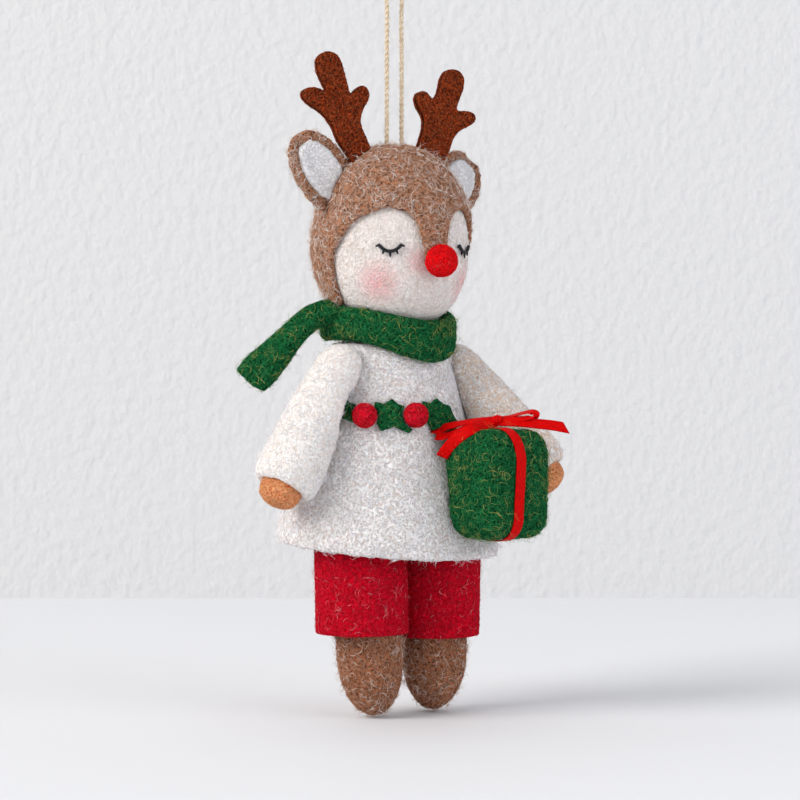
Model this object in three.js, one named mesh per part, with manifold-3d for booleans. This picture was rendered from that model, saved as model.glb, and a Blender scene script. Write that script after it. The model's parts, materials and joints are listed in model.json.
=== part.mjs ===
// A felted-wool reindeer ornament that hangs from a twine loop and holds a wrapped gift.
// Millimetres, +Z up. The doll faces -Y and its right hand is on the -X side.
// Pieces are placed by their height above the soles. The finished group is then moved so that
// the origin lies in the top of the twine loop, where a hook or a twig carries the ornament.
import * as THREE from "three";
import { mergeVertices } from "three/addons/utils/BufferGeometryUtils.js";
import Module from "manifold-3d";

const wasm = await Module();
wasm.setup();

const TURN = 2 * Math.PI;
const rad = THREE.MathUtils.degToRad;
const lerp = THREE.MathUtils.lerp;
const V = (x, y, z) => new THREE.Vector3(x, y, z);

// Clearances
const seatGap = 0.3;

// Heights above the soles, each from the one below it
const hemZ = 41.2;
const skirtDepth = 17.2;
const coreBottomZ = hemZ + skirtDepth;
const hemToWaist = 33.5;
const waistZ = hemZ + hemToWaist;
const waistToShoulder = 11.8;
const shoulderZ = waistZ + waistToShoulder;
const shoulderRise = 6.5;
const collarZ = shoulderZ + shoulderRise;
const neckLength = 2.5;
const headBottomZ = collarZ + neckLength;

// Head: an egg of wool ahead of the body's axis, turned a little to its right
const headForward = 2;
const headTurn = -5.5;
const headRadius = 18.8;
const headDrop = 20;
const headRise = 24.4;
const headWidestZ = headBottomZ + headDrop;
const headFullness = 0.92;
const chinForward = 1.6;
const hoodSlack = 0.2;
const hoodThickness = 1.1;
const hoodOut = seatGap + hoodSlack + hoodThickness;
const hoodCrownTilt = 84;
// The hood's edge round the face: bearing from the nose in degrees, share of the face's height
const faceTopAboveWidest = 9.8;
const faceEdgeShares = [
  [0, 0.57],
  [7, 0.57],
  [8.6, 0.6],
  [9.6, 0.67],
  [11, 0.8],
  [14.5, 0.889],
  [21, 0.956],
  [33, 1],
  [43, 0.98],
  [60, 0.9],
  [72, 0.752],
  [80, 0.624],
  [84, 0.43],
  [87.5, 0.25],
  [93, 0.2],
  [105, 0.2],
  [120, 0.2],
  [135, 0.2],
  [150, 0.2],
  [165, 0.2],
  [180, 0.2],
];

// Tunic: a flared felt shell, wider from side to side than from front to back
const hemHalfWidth = 27.6;
const waistHalfWidth = 19.4;
const shoulderHalfWidth = 16;
const collarHalfWidth = 11.5;
const collarWall = 0.9;
const tunicWall = 2.2;
const hemRoll = 0.5;
const hemDip = 2.6;
const hemLowestTurn = 32;
const tunicSideShare = 1.08;
const tunicDepthShare = 0.86;
// Height as a share from hem to waist, width as a share from waist to hem
const skirtShares = [
  [0.04, 1],
  [0.14, 0.93],
  [0.28, 0.8],
  [0.43, 0.64],
  [0.58, 0.476],
  [0.79, 0.22],
  [1, 0],
];

// Torso core inside the tunic, with the neck on top
const neckRadius = 8.4;
const neckTuck = 3;

// Legs, each with its trouser leg, hung on a stitch under the core
const legX = 11.9;
const legY = -4;
const legRadius = 8.2;
const footTaper = 14.5;
const trouserTopRadius = 11.5;
const trouserWall = 1.1;
const trouserFit = 0.8;
const trouserTopBelowCore = 9.4;
const trouserGather = 6;
const trouserFold = 0.6;
const stitchRadius = 0.7;
const hipStitchLength = 3.4;
// Each leg leans in towards the other inside its trouser leg, from the hip to the toe
const rightLeg = { lean: 4.4, trouserLean: 1.4, hemZ: 20.8, hemRadius: 11.5 };
const leftLeg = { lean: 0.6, trouserLean: 0, hemZ: 18.8, hemRadius: 11.1 };

// Arms: the place of the shoulder against the tunic, and the reach from there to the cuff's end
const shoulderEndRadius = 6.3;
const cuffRadius = 8;
const cuffRound = 3.4;
const cuffLip = 0.4;
const handRadius = 5.2;
const handProud = 4.6;
const handTuck = 3;
const shoulderOut = 0.6;
const shoulderForward = 4.2;
const shoulderDrop = 0.8;
const rightReach = V(-17.4, 0.2, -28.6);
const leftReach = V(13.2, -18.9, -26.6);
const shoulderStitchLength = 4;
const armSwing = 25;

// Scarf: a band round the neck that sits low in front, and a loose tail on the doll's right
const scarfRadius = 16.9;
const scarfThickness = 3.1;
const scarfFrontHeight = 10.6;
const scarfSideHeight = 8.4;
const scarfFrontBelowCollar = 0.3;
const scarfSideRise = 4.4;
const scarfLowBearing = 10;
const scarfEdge = 1.2;
const tailWidth = 9.4;
const tailThickness = 3.4;
const tailLength = 25.5;
const tailRootOut = 1.2;
const tailLift = 30;
const tailDrop = 8;
const tailRootBearing = -100;
const tailRootAboveCollar = 5.6;
const tailWidthAxis = V(0.25, -0.75, -0.6).normalize();
const tailShares = [V(0, 0, 0), V(-0.17, 0.06, -0.04), V(-0.36, 0.14, -0.2), V(-0.54, 0.2, -0.4), V(-0.71, 0.26, -0.6)];

// Face, on the head: bearings in degrees from the nose
const noseRadius = 4.1;
const noseProud = 3;
const noseBearing = 1.4;
const noseBelowWidest = 2.8;
const eyeBearing = 33.5;
const eyeBelowWidest = 0.1;
const eyeWidth = 5.8;
const eyeSag = 1.7;
const eyeThread = 0.42;
const lashLength = 1.4;
const lashRoot = 0.3;
const lashPlaces = [-0.95, -0.5, 0, 0.5, 0.95];

// Ears, cupped to the front and rooted in the hood
const earBearing = 92;
const earTilt = 31;
const earSunk = 3;
const rightEarReach = V(-10.4, 2.6, 15.6);
const leftEarReach = V(9.9, 3.3, 11.4);
const earWidth = 14.4;
const earThickness = 2.6;
const earCup = 1.3;
const liningWidth = 9;
const liningThickness = 0.9;
const earWidthShares = [
  [-0.1, 0.62],
  [0.08, 0.84],
  [0.3, 1],
  [0.55, 0.98],
  [0.75, 0.86],
  [0.9, 0.64],
  [1, 0.3],
];
const liningShares = [
  [0.08, 0.5],
  [0.22, 0.86],
  [0.42, 1],
  [0.62, 0.92],
  [0.78, 0.66],
  [0.86, 0.36],
];

// Antlers, cut from thick felt. The outline is in shares of the height: outward, then up
const antlerThickness = 2.6;
const antlerBearing = 86;
const antlerTilt = 62;
const antlerHeight = 26.6;
const antlerBack = 7.6;
const rightAntlerLean = 15;
const leftAntlerLean = 22;
const leftAntlerShare = 0.938;
const rightAntlerShares = [
  [-0.145, -0.17],
  [-0.11, 0.13],
  [-0.095, 0.27],
  [-0.14, 0.38],
  [-0.24, 0.47],
  [-0.278, 0.54],
  [-0.255, 0.605],
  [-0.2, 0.62],
  [-0.085, 0.575],
  [-0.08, 0.69],
  [-0.085, 0.87],
  [-0.055, 0.965],
  [0.045, 1.01],
  [0.14, 0.965],
  [0.17, 0.84],
  [0.145, 0.655],
  [0.25, 0.71],
  [0.345, 0.728],
  [0.402, 0.685],
  [0.375, 0.6],
  [0.25, 0.465],
  [0.19, 0.33],
  [0.172, 0.18],
  [0.115, 0.02],
  [0.1, -0.17],
];
const leftAntlerShares = [
  [-0.185, -0.17],
  [-0.158, 0.12],
  [-0.16, 0.29],
  [-0.2, 0.38],
  [-0.29, 0.45],
  [-0.335, 0.525],
  [-0.32, 0.595],
  [-0.255, 0.62],
  [-0.142, 0.585],
  [-0.1, 0.7],
  [-0.105, 0.85],
  [-0.075, 0.955],
  [0.035, 1],
  [0.125, 0.96],
  [0.155, 0.84],
  [0.14, 0.61],
  [0.245, 0.64],
  [0.325, 0.66],
  [0.388, 0.622],
  [0.36, 0.537],
  [0.235, 0.4],
  [0.192, 0.283],
  [0.188, 0.16],
  [0.15, 0.02],
  [0.14, -0.17],
];

// Holly garland on the waist: turns about the tunic's oval from the front, in degrees
const berryRadius = 3.15;
const berryProud = 1.7;
const berryTurns = [-47, -12.7];
const leafTurns = [-63, -27.5, 8];
const leafLength = 12.6;
const leafHeight = 8.4;
const leafThickness = 1;
const leafLift = 0.35;
const leafShares = [
  [0.84, -0.5],
  [0.62, 0.05],
  [0.52, 0.5],
  [0.2, 0.64],
  [-0.05, 0.96],
  [-0.34, 0.66],
  [-0.7, 0.82],
  [-0.72, 0.14],
  [-0.96, -0.1],
  [-0.6, -0.4],
  [-0.44, -0.88],
  [0.02, -0.62],
  [0.52, -1],
];

// Gift with its ribbon and bow
const giftWidth = 21.2;
const giftDepth = 19.4;
const giftHeight = 26;
const giftRound = 5.2;
const giftX = 12.8;
const giftProud = 9.4;
const giftBelowWaist = 17;
const ribbonWidth = 3;
const ribbonThickness = 0.45;
const ribbonAside = -1;
const knotRadius = 1.8;
const knotLift = 0.5;
const bowLoopOpening = 2.2;
const rightBowLoop = 20;
const rightLoopDrop = 3.1;
const leftBowLoop = 13;
const leftLoopDrop = -1.3;
const rightBowTail = 17.7;
const rightTailDrop = 8.6;
const leftBowTail = 22.4;
const leftTailDrop = 3.4;
const bowTilt = 30;
const tailDip = 1;
const tailDipReach = 2.6;

// Twine hanger, with its two strands side by side up from the crown
const twineRadius = 0.6;
const hookBelowTop = 1.6;
const strandSpacing = 4.6;
const crownForward = 0.6;
const hangerRise = 49;
const hangerLoopRadius = 3.9;
const hangerFlare = 10;
const twineGap = 0.45;

const felt = (color, roughness = 0.95) => new THREE.MeshStandardMaterial({ color, roughness, metalness: 0 });
const creamWool = felt(0xf0e9e0);
const tunicWool = felt(0xeee9e4);
const brownWool = felt(0x96694c);
const antlerFelt = felt(0x6e2c12);
const redFelt = felt(0xb8122a);
const noseWool = felt(0xd4101a);
const greenFelt = felt(0x1d6b3c);
const tanWool = felt(0xc07a45);
const earFelt = felt(0xe4e4ec);
const satin = felt(0xd6100c, 0.4);
const blackThread = felt(0x14161a, 0.7);
const jute = felt(0xc4a67c);
const coreWool = felt(0xe6ddcf);

// A solid from points and triangles, turned so that its faces point out.
function solid(points, faces) {
  const volume = faces.reduce((sum, _, i) => {
    if (i % 3) return sum;
    const [a, b, c] = [points[faces[i]], points[faces[i + 1]], points[faces[i + 2]]];
    return sum + a.dot(b.clone().cross(c));
  }, 0);
  const turned = faces.slice();
  if (volume < 0) {
    for (let i = 0; i < turned.length; i += 3) [turned[i + 1], turned[i + 2]] = [turned[i + 2], turned[i + 1]];
  }
  return new THREE.BufferGeometry().setFromPoints(points).setIndex(turned);
}

function bandFaces(first, second, count) {
  const faces = [];
  for (let j = 0; j < count; j++) {
    const k = (j + 1) % count;
    faces.push(first + j, first + k, second + k, first + j, second + k, second + j);
  }
  return faces;
}

// A solid through rings of points, each with the same count, with fans over both ends.
function loft(rings) {
  const count = rings[0].length;
  const points = rings.flat();
  const faces = rings.slice(1).flatMap((_, i) => bandFaces(i * count, (i + 1) * count, count));
  for (const [i, flip] of [[0, true], [rings.length - 1, false]]) {
    const middle = rings[i].reduce((sum, p) => sum.add(p), V(0, 0, 0)).divideScalar(count);
    const hub = points.push(middle) - 1;
    for (let j = 0; j < count; j++) {
      const [a, b] = [i * count + j, i * count + ((j + 1) % count)];
      faces.push(hub, flip ? b : a, flip ? a : b);
    }
  }
  return solid(points, faces);
}

// A hollow shell whose last ring joins the first, so that both its ends stay open.
function shell(rings) {
  const count = rings[0].length;
  const faces = rings.flatMap((_, i) => bandFaces(i * count, ((i + 1) % rings.length) * count, count));
  return solid(rings.flat(), faces);
}

function ring(count, at) {
  return Array.from({ length: count }, (_, i) => at((i / count) * TURN));
}

function toManifold(geometry) {
  const bare = new THREE.BufferGeometry().setAttribute("position", geometry.getAttribute("position"));
  if (geometry.index) bare.setIndex(geometry.index);
  const merged = mergeVertices(bare, 1e-4);
  return new wasm.Manifold(
    new wasm.Mesh({
      numProp: 3,
      vertProperties: new Float32Array(merged.attributes.position.array),
      triVerts: new Uint32Array(merged.index.array),
    }),
  );
}

function fromManifold(body) {
  const mesh = body.getMesh();
  const positions = new Float32Array(mesh.numVert * 3);
  for (let i = 0; i < mesh.numVert; i++) {
    positions.set(mesh.vertProperties.subarray(i * mesh.numProp, i * mesh.numProp + 3), i * 3);
  }
  return new THREE.BufferGeometry()
    .setAttribute("position", new THREE.BufferAttribute(positions, 3))
    .setIndex(new THREE.BufferAttribute(new Uint32Array(mesh.triVerts), 1));
}

// Cuts tools out of a geometry and keeps the largest body, because a cut can leave crumbs.
function cut(geometry, ...tools) {
  const left = tools.reduce((body, tool) => body.subtract(toManifold(tool)), toManifold(geometry));
  return fromManifold(left.decompose().sort((a, b) => b.volume() - a.volume())[0]);
}

function join(...geometries) {
  return fromManifold(geometries.map(toManifold).reduce((a, b) => a.add(b)));
}

// Linear interpolation in a table of [place, value] pairs.
function along(table, place) {
  const after = table.findIndex(([p]) => p >= place);
  if (after <= 0) return table[after === 0 ? 0 : table.length - 1][1];
  const [[p0, v0], [p1, v1]] = [table[after - 1], table[after]];
  return lerp(v0, v1, (place - p0) / (p1 - p0));
}

function ball(radius, at, across, up) {
  const tilts = Array.from({ length: up - 1 }, (_, i) => Math.PI * ((i + 1) / up - 1 / 2));
  return loft(
    tilts.map((tilt) =>
      ring(across, (a) =>
        V(Math.cos(tilt) * Math.cos(a), Math.cos(tilt) * Math.sin(a), Math.sin(tilt)).multiplyScalar(radius).add(at),
      ),
    ),
  );
}

// A round limb on the line from a along reach. Stations are [distance from a, radius].
function limb(a, reach, stations, count) {
  const axis = reach.clone().normalize();
  const side = axis.clone().cross(V(0, 1, 0)).normalize();
  const front = side.clone().cross(axis);
  return loft(
    stations.map(([distance, radius]) =>
      ring(count, (t) =>
        a
          .clone()
          .addScaledVector(axis, distance)
          .addScaledVector(side, radius * Math.cos(t))
          .addScaledVector(front, radius * Math.sin(t)),
      ),
    ),
  );
}

// A flat strip along points, with its width on one fixed axis.
function strip(points, widthAxis, width, thickness, roundShare = 0) {
  const rings = points.map((p, i) => {
    const ahead = points[Math.min(i + 1, points.length - 1)];
    const behind = points[Math.max(i - 1, 0)];
    const normal = ahead.clone().sub(behind).cross(widthAxis).normalize();
    const [w, n, r] = [width / 2, thickness / 2, (roundShare * thickness) / 2];
    const corners = roundShare
      ? [[w, n - r], [w - r, n], [r - w, n], [-w, n - r], [-w, r - n], [r - w, -n], [w - r, -n], [w, r - n]]
      : [[w, n], [-w, n], [-w, -n], [w, -n]];
    return corners.map(([a, b]) => p.clone().addScaledVector(widthAxis, a).addScaledVector(normal, b));
  });
  return loft(rings);
}

// Turns a geometry about an axis through a point, as a joint does.
function turnAbout(geometry, at, axis, degrees) {
  const turn = new THREE.Matrix4().makeRotationAxis(axis, rad(degrees));
  return geometry.translate(-at.x, -at.y, -at.z).applyMatrix4(turn).translate(at.x, at.y, at.z);
}

// The head's own frame faces -Y on the Z axis. The head is then turned and moved forward.
const placeHead = (geometry) => geometry.rotateZ(rad(headTurn)).translate(0, -headForward, 0);

function headPoint(bearing, tilt, out) {
  const rise = (tilt < 0 ? headDrop : headRise) + out;
  const chin = THREE.MathUtils.smoothstep(-tilt, 0, 1) * chinForward;
  const radius = (headRadius + out) * Math.cos(tilt) ** headFullness;
  return V(radius * Math.sin(bearing), -radius * Math.cos(bearing) - chin, headWidestZ + rise * Math.sin(tilt));
}

function headTilt(z, out) {
  const rise = (z < headWidestZ ? headDrop : headRise) + out;
  return Math.asin(THREE.MathUtils.clamp((z - headWidestZ) / rise, -1, 1));
}

function headSolid(out) {
  const up = 16;
  const tilts = Array.from({ length: up - 1 }, (_, i) => Math.PI * ((i + 1) / up - 1 / 2));
  return placeHead(loft(tilts.map((tilt) => ring(36, (a) => headPoint(a, tilt, out)))));
}

// Bearings round the hood, closer together where its edge runs steeply down to the nose.
const hoodBearings = [
  ...faceEdgeShares.map(([bearing]) => bearing),
  ...faceEdgeShares.slice(1, -1).reverse().map(([bearing]) => -bearing),
];

// A ring of the hood, where share runs from the crown at 0 to the edge round the face at 1.
function hoodRing(share, out, lower = 0) {
  const faceHeight = headDrop + faceTopAboveWidest;
  return hoodBearings.map((bearing) => {
    const edgeZ = headBottomZ + faceHeight * along(faceEdgeShares, Math.abs(bearing)) - lower;
    return headPoint(rad(bearing), lerp(rad(hoodCrownTilt), headTilt(edgeZ, out), share), out);
  });
}

const hoodShares = [0, 0.1, 0.2, 0.3, 0.4, 0.5, 0.6, 0.7, 0.8, 0.9, 0.97];

function hoodSolid(grow) {
  return placeHead(loft([...hoodShares, 1].map((share) => hoodRing(share, hoodOut + grow, grow))));
}

function hood() {
  const inner = seatGap + hoodSlack;
  const rings = [
    ...hoodShares.map((share) => hoodRing(share, hoodOut)),
    hoodRing(0.995, lerp(hoodOut, inner, 0.4)),
    hoodRing(1, inner),
    ...[0.88, 0.76, 0.64, 0.52, 0.39, 0.26, 0.13, 0].map((share) => hoodRing(share, inner)),
  ];
  return placeHead(loft(rings));
}

function nose() {
  const at = headPoint(rad(noseBearing), headTilt(headWidestZ - noseBelowWidest, 0), noseProud);
  return cut(placeHead(ball(noseRadius, at, 20, 12)), headSolid(seatGap), hoodSolid(seatGap));
}

// A tube of thread through points that lie on the head, with one radius at each point.
function thread(points, radii, sides = 6) {
  const rings = points.map((p, i) => {
    const ahead = points[Math.min(i + 1, points.length - 1)];
    const behind = points[Math.max(i - 1, 0)];
    const course = ahead.clone().sub(behind).normalize();
    const out = p.clone().setZ(0).normalize();
    const side = course.clone().cross(out).normalize();
    const up = side.clone().cross(course);
    return ring(sides, (a) =>
      p.clone().addScaledVector(side, radii[i] * Math.cos(a)).addScaledVector(up, radii[i] * Math.sin(a)),
    );
  });
  return loft(rings);
}

// A closed eye: a sagging arc of black thread with short lashes below it.
function eyeStitch(side) {
  const z = headWidestZ - eyeBelowWidest;
  const out = seatGap + eyeThread;
  const at = (across, down) => {
    const height = z + eyeSag * (across * across - 1 / 2) - down;
    const swing = (across * eyeWidth) / 2 / (headRadius + out);
    return headPoint(side * rad(eyeBearing) + swing, headTilt(height, out), out);
  };
  const arc = Array.from({ length: 9 }, (_, i) => at(i / 4 - 1, 0));
  const lashes = lashPlaces.map((place) => {
    const [root, tip] = [at(place, 0), at(place * 1.3, lashLength)];
    return thread([root, root.clone().lerp(tip, 1 / 2), tip], [lashRoot, lashRoot, lashRoot / 2]);
  });
  return placeHead(join(thread(arc, arc.map(() => eyeThread)), ...lashes));
}

// Place runs from the root to the tip, across from edge to edge, depth forward of the cupped front.
function earPoint(side, place, across, depth) {
  const reach = side < 0 ? rightEarReach : leftEarReach;
  const axis = reach.clone().normalize();
  const front = V(0, -1, 0).addScaledVector(axis, axis.y).normalize();
  const over = axis.clone().cross(front);
  const half = (earWidth / 2) * along(earWidthShares, place);
  return headPoint(side * rad(earBearing), rad(earTilt), hoodOut - earSunk)
    .addScaledVector(reach, place)
    .addScaledVector(over, across)
    .addScaledVector(front, earCup * Math.min(1, (across / half) ** 2) + depth);
}

function ear(side) {
  const rings = earWidthShares.map(([place, share]) => {
    const half = (earWidth / 2) * share;
    const depth = earThickness * Math.min(1, share + 0.3);
    const front = [-1, -0.8, -0.4, 0, 0.4, 0.8, 1].map((a) => earPoint(side, place, a * half, 0));
    const back = [0.9, 0.5, 0, -0.5, -0.9].map((a) =>
      earPoint(side, place, a * half, -depth * Math.sqrt(1 - a * a * 0.8)),
    );
    return [...front, ...back];
  });
  return cut(placeHead(loft(rings)), hoodSolid(seatGap), headSolid(seatGap));
}

function earLining(side) {
  const rings = liningShares.map(([place, share]) => {
    const half = (liningWidth / 2) * share;
    const at = (depth) => (a) => earPoint(side, place, a * half, depth);
    const spread = [-1, -0.5, 0, 0.5, 1];
    return [...spread.map(at(seatGap + liningThickness)), ...spread.slice().reverse().map(at(seatGap))];
  });
  return cut(placeHead(loft(rings)), hoodSolid(seatGap), headSolid(seatGap));
}

function antler(side) {
  const [height, shares, lean] =
    side < 0
      ? [antlerHeight, rightAntlerShares, rightAntlerLean]
      : [antlerHeight * leftAntlerShare, leftAntlerShares, leftAntlerLean];
  const outline = new THREE.SplineCurve(
    shares.map(([outward, up]) => new THREE.Vector2(side * outward * height, up * height)),
  );
  const slab = new THREE.ExtrudeGeometry(new THREE.Shape(outline.getPoints(72)), {
    depth: antlerThickness,
    bevelEnabled: false,
  });
  const base = headPoint(side * rad(antlerBearing), rad(antlerTilt), hoodOut);
  slab
    .translate(0, 0, -antlerThickness / 2)
    .rotateX(TURN / 4 - rad(antlerBack))
    .rotateY(side * rad(lean))
    .translate(base.x, base.y, base.z);
  return cut(placeHead(slab), hoodSolid(seatGap), headSolid(seatGap));
}

function tunicHalfWidth(z) {
  if (z <= waistZ) {
    return lerp(waistHalfWidth, hemHalfWidth, along(skirtShares, (z - hemZ) / hemToWaist));
  }
  if (z <= shoulderZ) return lerp(waistHalfWidth, shoulderHalfWidth, (z - waistZ) / waistToShoulder);
  const share = Math.min(1, (z - shoulderZ) / shoulderRise);
  return lerp(collarHalfWidth, shoulderHalfWidth, Math.sqrt(1 - share * share));
}

// A point of the tunic's oval surface. Turn is 0 at the front and grows to the doll's left.
function tunicPoint(turn, z, out) {
  const width = tunicHalfWidth(z);
  const dip = hemDip * Math.cos(turn - rad(hemLowestTurn)) * Math.max(0, 1 - (z - hemZ) / hemToWaist);
  return V(
    (tunicSideShare * width + out) * Math.sin(turn),
    -(tunicDepthShare * width + out) * Math.cos(turn),
    z - dip,
  );
}

const tunicRing = (z, out) => ring(44, (turn) => tunicPoint(turn, z, out));
const skirtHeights = [0.04, 0.14, 0.28, 0.43, 0.58, 0.79].map((share) => hemZ + share * hemToWaist);
const bodiceHeights = [waistZ, (waistZ + shoulderZ) / 2, shoulderZ];
const shoulderShares = [0.45, 0.75, 0.92];
const yokeHeights = shoulderShares.map((share) => shoulderZ + share * shoulderRise);

function tunicSolid(grow) {
  const rings = [...skirtHeights, ...bodiceHeights, ...yokeHeights].map((z) => tunicRing(z, grow));
  return loft([tunicRing(hemZ - grow, grow), ...rings, tunicRing(collarZ + grow, grow)]);
}

// The room the garland takes up round the waist.
function garlandSolid() {
  const half = leafHeight / 2 + seatGap;
  const out = leafLift + leafThickness + seatGap;
  return loft([waistZ - half, waistZ, waistZ + half].map((z) => tunicRing(z, out)));
}

function tunic() {
  const wallAt = (z) => -lerp(tunicWall, collarWall, THREE.MathUtils.smoothstep(z, shoulderZ, collarZ));
  const outer = [...skirtHeights, ...bodiceHeights, ...yokeHeights];
  const inner = [...skirtHeights, ...bodiceHeights, yokeHeights[1]];
  return shell([
    tunicRing(hemZ, -tunicWall * 0.2),
    tunicRing(hemZ + hemRoll, 0),
    ...outer.map((z) => tunicRing(z, 0)),
    tunicRing(collarZ, 0),
    tunicRing(collarZ, -collarWall),
    ...inner.reverse().map((z) => tunicRing(z, wallAt(z))),
    tunicRing(hemZ + hemRoll, -tunicWall),
    tunicRing(hemZ, -tunicWall * 0.8),
  ]);
}

function torsoCore() {
  const seat = -(tunicWall + seatGap);
  const neck = (z) => ring(44, (turn) => V(neckRadius * Math.sin(turn), -neckRadius * Math.cos(turn), z));
  const flat = (z, out) => tunicRing(z, out).map((p) => p.setZ(z));
  const rings = [
    flat(coreBottomZ, seat * 1.6),
    flat(coreBottomZ + stitchRadius, seat * 1.25),
    ...bodiceHeights.map((z) => tunicRing(z, seat)),
    tunicRing(yokeHeights[1], seat),
    neck(collarZ),
    neck(headBottomZ + neckTuck),
  ];
  return cut(loft(rings), headSolid(seatGap));
}

const legTopZ = coreBottomZ - hipStitchLength;

// Rings on a leg's axis, from [height, radius] pairs. Lean is how far in the axis lies at the soles.
function legRings(side, lean, stations) {
  return stations.map(([z, radius]) => {
    const axis = side * (legX - lean * (1 - z / legTopZ));
    return ring(28, (a) => V(axis + radius * Math.cos(a), legY + radius * Math.sin(a), z));
  });
}

function leg(side) {
  const round = (share) => Math.sqrt(1 - (1 - share) ** 2);
  const foot = [0.004, 0.03, 0.09, 0.2, 0.36, 0.56, 0.78, 1];
  const top = [1, 0.7, 0.4, 0.15, 0.02];
  const { lean } = side < 0 ? rightLeg : leftLeg;
  return loft(
    legRings(side, lean, [
      ...foot.map((share) => [share * footTaper - 0.004 * footTaper, legRadius * round(share)]),
      ...top.map((share) => [legTopZ - share * legRadius, legRadius * round(share)]),
    ]),
  );
}

function trouserLeg(side) {
  const topZ = coreBottomZ - trouserTopBelowCore;
  const fitRadius = legRadius + trouserFit;
  const { trouserLean, hemZ: bottomZ, hemRadius } = side < 0 ? rightLeg : leftLeg;
  return shell(
    legRings(side, trouserLean, [
      [bottomZ, hemRadius - trouserWall],
      [bottomZ, hemRadius],
      [topZ - trouserGather, trouserTopRadius],
      [topZ - trouserGather * 0.45, lerp(trouserTopRadius, fitRadius + trouserFold, 0.2)],
      [topZ - trouserGather * 0.12, lerp(trouserTopRadius, fitRadius + trouserFold, 0.6)],
      [topZ, fitRadius + trouserFold],
      [topZ, fitRadius],
      [topZ - trouserGather * 0.45, fitRadius],
      [topZ - trouserGather, trouserTopRadius - trouserWall],
    ]),
  );
}

function hipStitch(side) {
  const length = hipStitchLength - 2 * seatGap;
  const start = V(side * legX, legY, legTopZ + seatGap);
  return limb(start, V(0, 0, 1), [[0, stitchRadius], [length, stitchRadius]], 10);
}

// Side is -1 for the doll's right and 1 for its left.
const shoulderAt = (side) =>
  V(side * (tunicSideShare * shoulderHalfWidth + shoulderOut), -shoulderForward, shoulderZ - shoulderDrop);

const armReach = (side) => (side < 0 ? rightReach : leftReach);

function shoulderStitch(side, grow = 0) {
  const half = shoulderStitchLength / 2;
  const start = shoulderAt(side).add(V(-side * half, 0, 0));
  return limb(start, V(side, 0, 0), [[0, stitchRadius + grow], [half * 2 + grow, stitchRadius + grow]], 10);
}

function sleeve(side) {
  const length = armReach(side).length();
  const end = shoulderEndRadius;
  const palm = handRadius + seatGap;
  const stations = [
    [-end, end * 0.12],
    [-end * 0.9, end * 0.45],
    [-end * 0.6, end * 0.82],
    [0, end],
    [length * 0.35, lerp(end, cuffRadius, 0.62)],
    [length * 0.7, lerp(end, cuffRadius, 0.9)],
    [length - cuffRound, cuffRadius],
    [length - cuffRound * 0.45, lerp(palm, cuffRadius, 0.86)],
    [length - cuffRound * 0.12, lerp(palm, cuffRadius, 0.5)],
    [length, palm + cuffLip],
    [length, palm],
    [length - handTuck - seatGap, palm],
  ];
  return limb(shoulderAt(side), armReach(side), stations, 26);
}

function rightSleeve() {
  const at = shoulderAt(-1);
  const swings = [-armSwing, -armSwing / 2, 0, armSwing / 2, armSwing];
  const passed = swings.flatMap((degrees) =>
    [tunicSolid(seatGap), garlandSolid()].map((tool) => turnAbout(tool, at, V(1, 0, 0), degrees)),
  );
  return cut(sleeve(-1), shoulderStitch(-1, seatGap), ...passed);
}

function leftSleeve() {
  return cut(sleeve(1), tunicSolid(seatGap), giftSolid(seatGap));
}

function hand(side) {
  const length = armReach(side).length();
  const start = length - handTuck;
  const span = handTuck + handProud;
  const stations = [[0, 0.9], [0.1, 1], [0.55, 1], [0.78, 0.88], [0.92, 0.6], [0.98, 0.32], [1, 0.1]];
  return limb(
    shoulderAt(side),
    armReach(side),
    stations.map(([share, width]) => [start + share * span, width * handRadius]),
    24,
  );
}

// The band's middle height and its own height, both by bearing. It rises to the sides and the back.
function scarfShape(turn) {
  const away = Math.abs(THREE.MathUtils.euclideanModulo(turn - rad(scarfLowBearing) + Math.PI, TURN) - Math.PI);
  const share = Math.sin(Math.min(away, TURN / 4)) ** 2;
  return {
    middle: collarZ - scarfFrontBelowCollar + scarfSideRise * share,
    half: lerp(scarfFrontHeight, scarfSideHeight, share) / 2,
  };
}

// The band, whose edges are rounded. Grow makes it larger, for cutting.
function scarfBand(grow) {
  const edge = scarfEdge;
  const outer = scarfRadius + grow;
  const inner = scarfRadius - scarfThickness - grow;
  const corners = [
    [outer, -edge, -1],
    [outer + edge / 4, 0, 0],
    [outer, -edge, 1],
    [outer - edge, 0, 1],
    [inner + edge, 0, 1],
    [inner, -edge, 1],
    [inner, -edge, -1],
    [inner + edge, 0, -1],
    [outer - edge, 0, -1],
  ];
  return shell(
    corners.map(([radius, inset, side]) =>
      ring(44, (turn) => {
        const { middle, half } = scarfShape(turn);
        return V(radius * Math.sin(turn), -radius * Math.cos(turn), middle + side * (half + grow + inset));
      }),
    ),
  );
}

function scarfWrap() {
  return cut(scarfBand(0), headSolid(seatGap), hoodSolid(seatGap), tunicSolid(seatGap));
}

function scarfTail() {
  const root = rad(tailRootBearing);
  const reach = scarfRadius + tailRootOut;
  const start = V(reach * Math.sin(root), -reach * Math.cos(root), collarZ + tailRootAboveCollar);
  const points = tailShares.map((share) => start.clone().addScaledVector(share, tailLength));
  const passed = [-tailDrop, 0, tailLift / 2, tailLift].map((degrees) =>
    turnAbout(scarfBand(seatGap), start, tailWidthAxis, degrees),
  );
  return cut(strip(points, tailWidthAxis, tailWidth, tailThickness, 0.6), ...passed, hoodSolid(seatGap));
}

function berry(turn, grow = 0) {
  const at = tunicPoint(rad(turn), waistZ, berryProud);
  return cut(ball(berryRadius + grow, at, 18, 11), tunicSolid(seatGap));
}

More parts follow.
